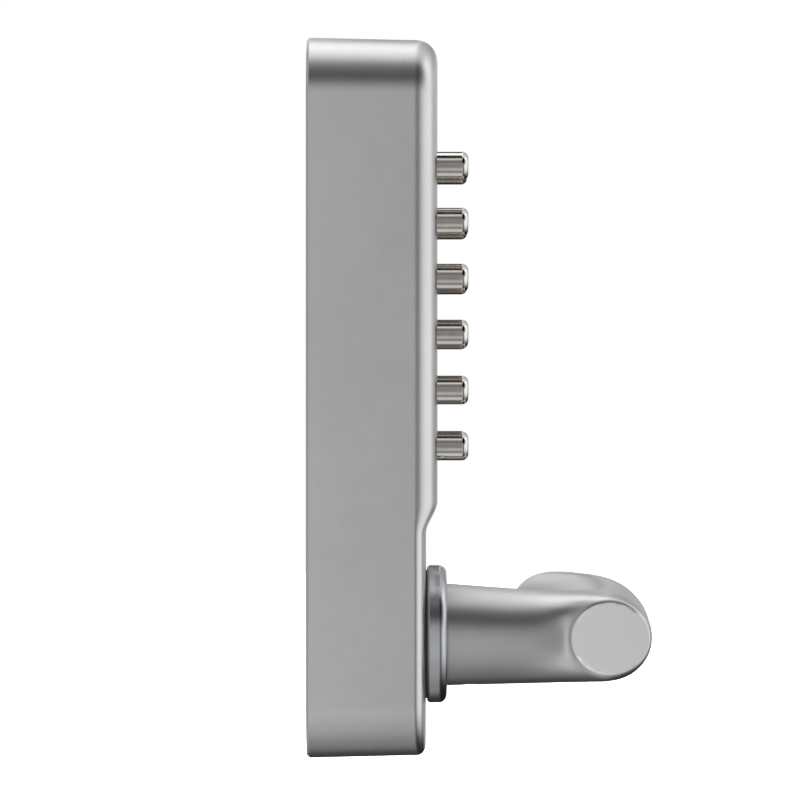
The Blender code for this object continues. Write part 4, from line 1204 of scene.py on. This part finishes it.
def tent_light(finish):
    """Brightness of the dome: cloths at the side with a narrow gap between, and lights in front and behind.

    A flag, a dark sheet between the side's cloth and the front, draws the dark line along the edges.
    """
    x, y, z = finish.parts(finish.place())
    across = 0.0 - y / DOME_RADIUS
    rise = z.math("ARCTAN2", z, 0.0 - x) / math.pi
    cloth = tent_levels(finish, rise, TENT_ROUND)
    gap = tent_levels(finish, rise, GAP_ROUND)
    side = across.math("ARCSINE", across) * (180 / math.pi)
    from_gap = side - GAP_SIDE
    outer, inner = GAP_HALF + GAP_SOFTNESS, GAP_HALF - GAP_SOFTNESS
    at_gap = finish.eased(from_gap.math("ABSOLUTE", from_gap), outer, inner)
    level = cloth * (1.0 - at_gap) + gap * at_gap
    front = finish.eased(side, *FRONT_FADE)
    rear = finish.eased(side, *REAR_FADE)
    behind = finish.eased(x / DOME_RADIUS, *BEHIND_FADE)
    below = finish.eased(z / DOME_RADIUS, *BELOW_FADE)
    low = finish.eased(z.math("ABSOLUTE", z) / DOME_RADIUS, *LEVEL_FADE)
    reach = finish.eased(x / DOME_RADIUS, *REACH_FADE) * FLAG_EXTRA_REACH
    flag = finish.eased(side, *FLAG_FADE) - finish.eased(side - reach, *FLAG_END_FADE)
    strength = FLAG_STRENGTH - finish.eased(rise, *HIGH_FADE) * FLAG_LOSS_HIGH
    shade = 1.0 - flag * (1.0 - behind * low) * strength
    dimmed = (1.0 - front) * (1.0 - rear) * shade * TENT_SCALE
    front_light = front * (FRONT_LIGHT - behind * FRONT_LOSS_BEHIND - below * FRONT_LOSS_BELOW)
    return level * dimmed + front_light + rear * REAR_LIGHT


def studio_dome():
    """A light tent round the object. The eye looks through it."""
    form = bmesh.new()
    across, up = DOME_STEPS
    bmesh.ops.create_uvsphere(form, u_segments=across, v_segments=up, radius=DOME_RADIUS)
    dome = staged("studio_dome", form)
    finish = Finish("tent_light")
    lamp = finish.node("ShaderNodeEmission", None, {"Color": WHITE, "Strength": tent_light(finish)})
    end = finish.tree.nodes["Material Output"]
    finish.tree.links.new(lamp.socket, end.inputs["Surface"])
    dome.data.materials.append(finish.material)
    dome.visible_camera = False


def softbox(name, spot, size, power):
    """A square lamp, aimed at the lock and left out of its reflections."""
    lamp = bpy.data.lights.new(name, "AREA")
    lamp.shape = "SQUARE"
    lamp.size = size
    lamp.energy = power
    obj = bpy.data.objects.new(name, lamp)
    scene.collection.objects.link(obj)
    obj.location = spot
    obj.rotation_euler = (Vector(SOFTBOX_AIM) - Vector(spot)).to_track_quat("-Z", "Y").to_euler()
    obj.visible_glossy = False


def studio_lights():
    """The softboxes and a white world."""
    for row in SOFTBOXES:
        softbox(*row)
    world = bpy.data.worlds.new("studio_world")
    world.use_nodes = True
    world.node_tree.nodes["Background"].inputs["Color"].default_value = (*WHITE, 1.0)
    scene.world = world
    scene.view_settings.view_transform = "Standard"


def eye():
    """The camera, level with the lock's middle and square to its side."""
    data = bpy.data.cameras.new("eye")
    data.sensor_width = SENSOR
    data.lens = LENS
    camera = bpy.data.objects.new("eye", data)
    camera.location = EYE
    camera.rotation_euler = (QUARTER, 0.0, -QUARTER)
    scene.collection.objects.link(camera)
    scene.camera = camera


moulded_case(case_finish())
chrome_buttons(button_finish())
turned_rose(rose_finish())
nylon_bush(nylon_finish())
cast_lever(lever_finish())
dress_inner_nodes()
button_numbers()
studio_floor()
studio_dome()
studio_lights()
eye()
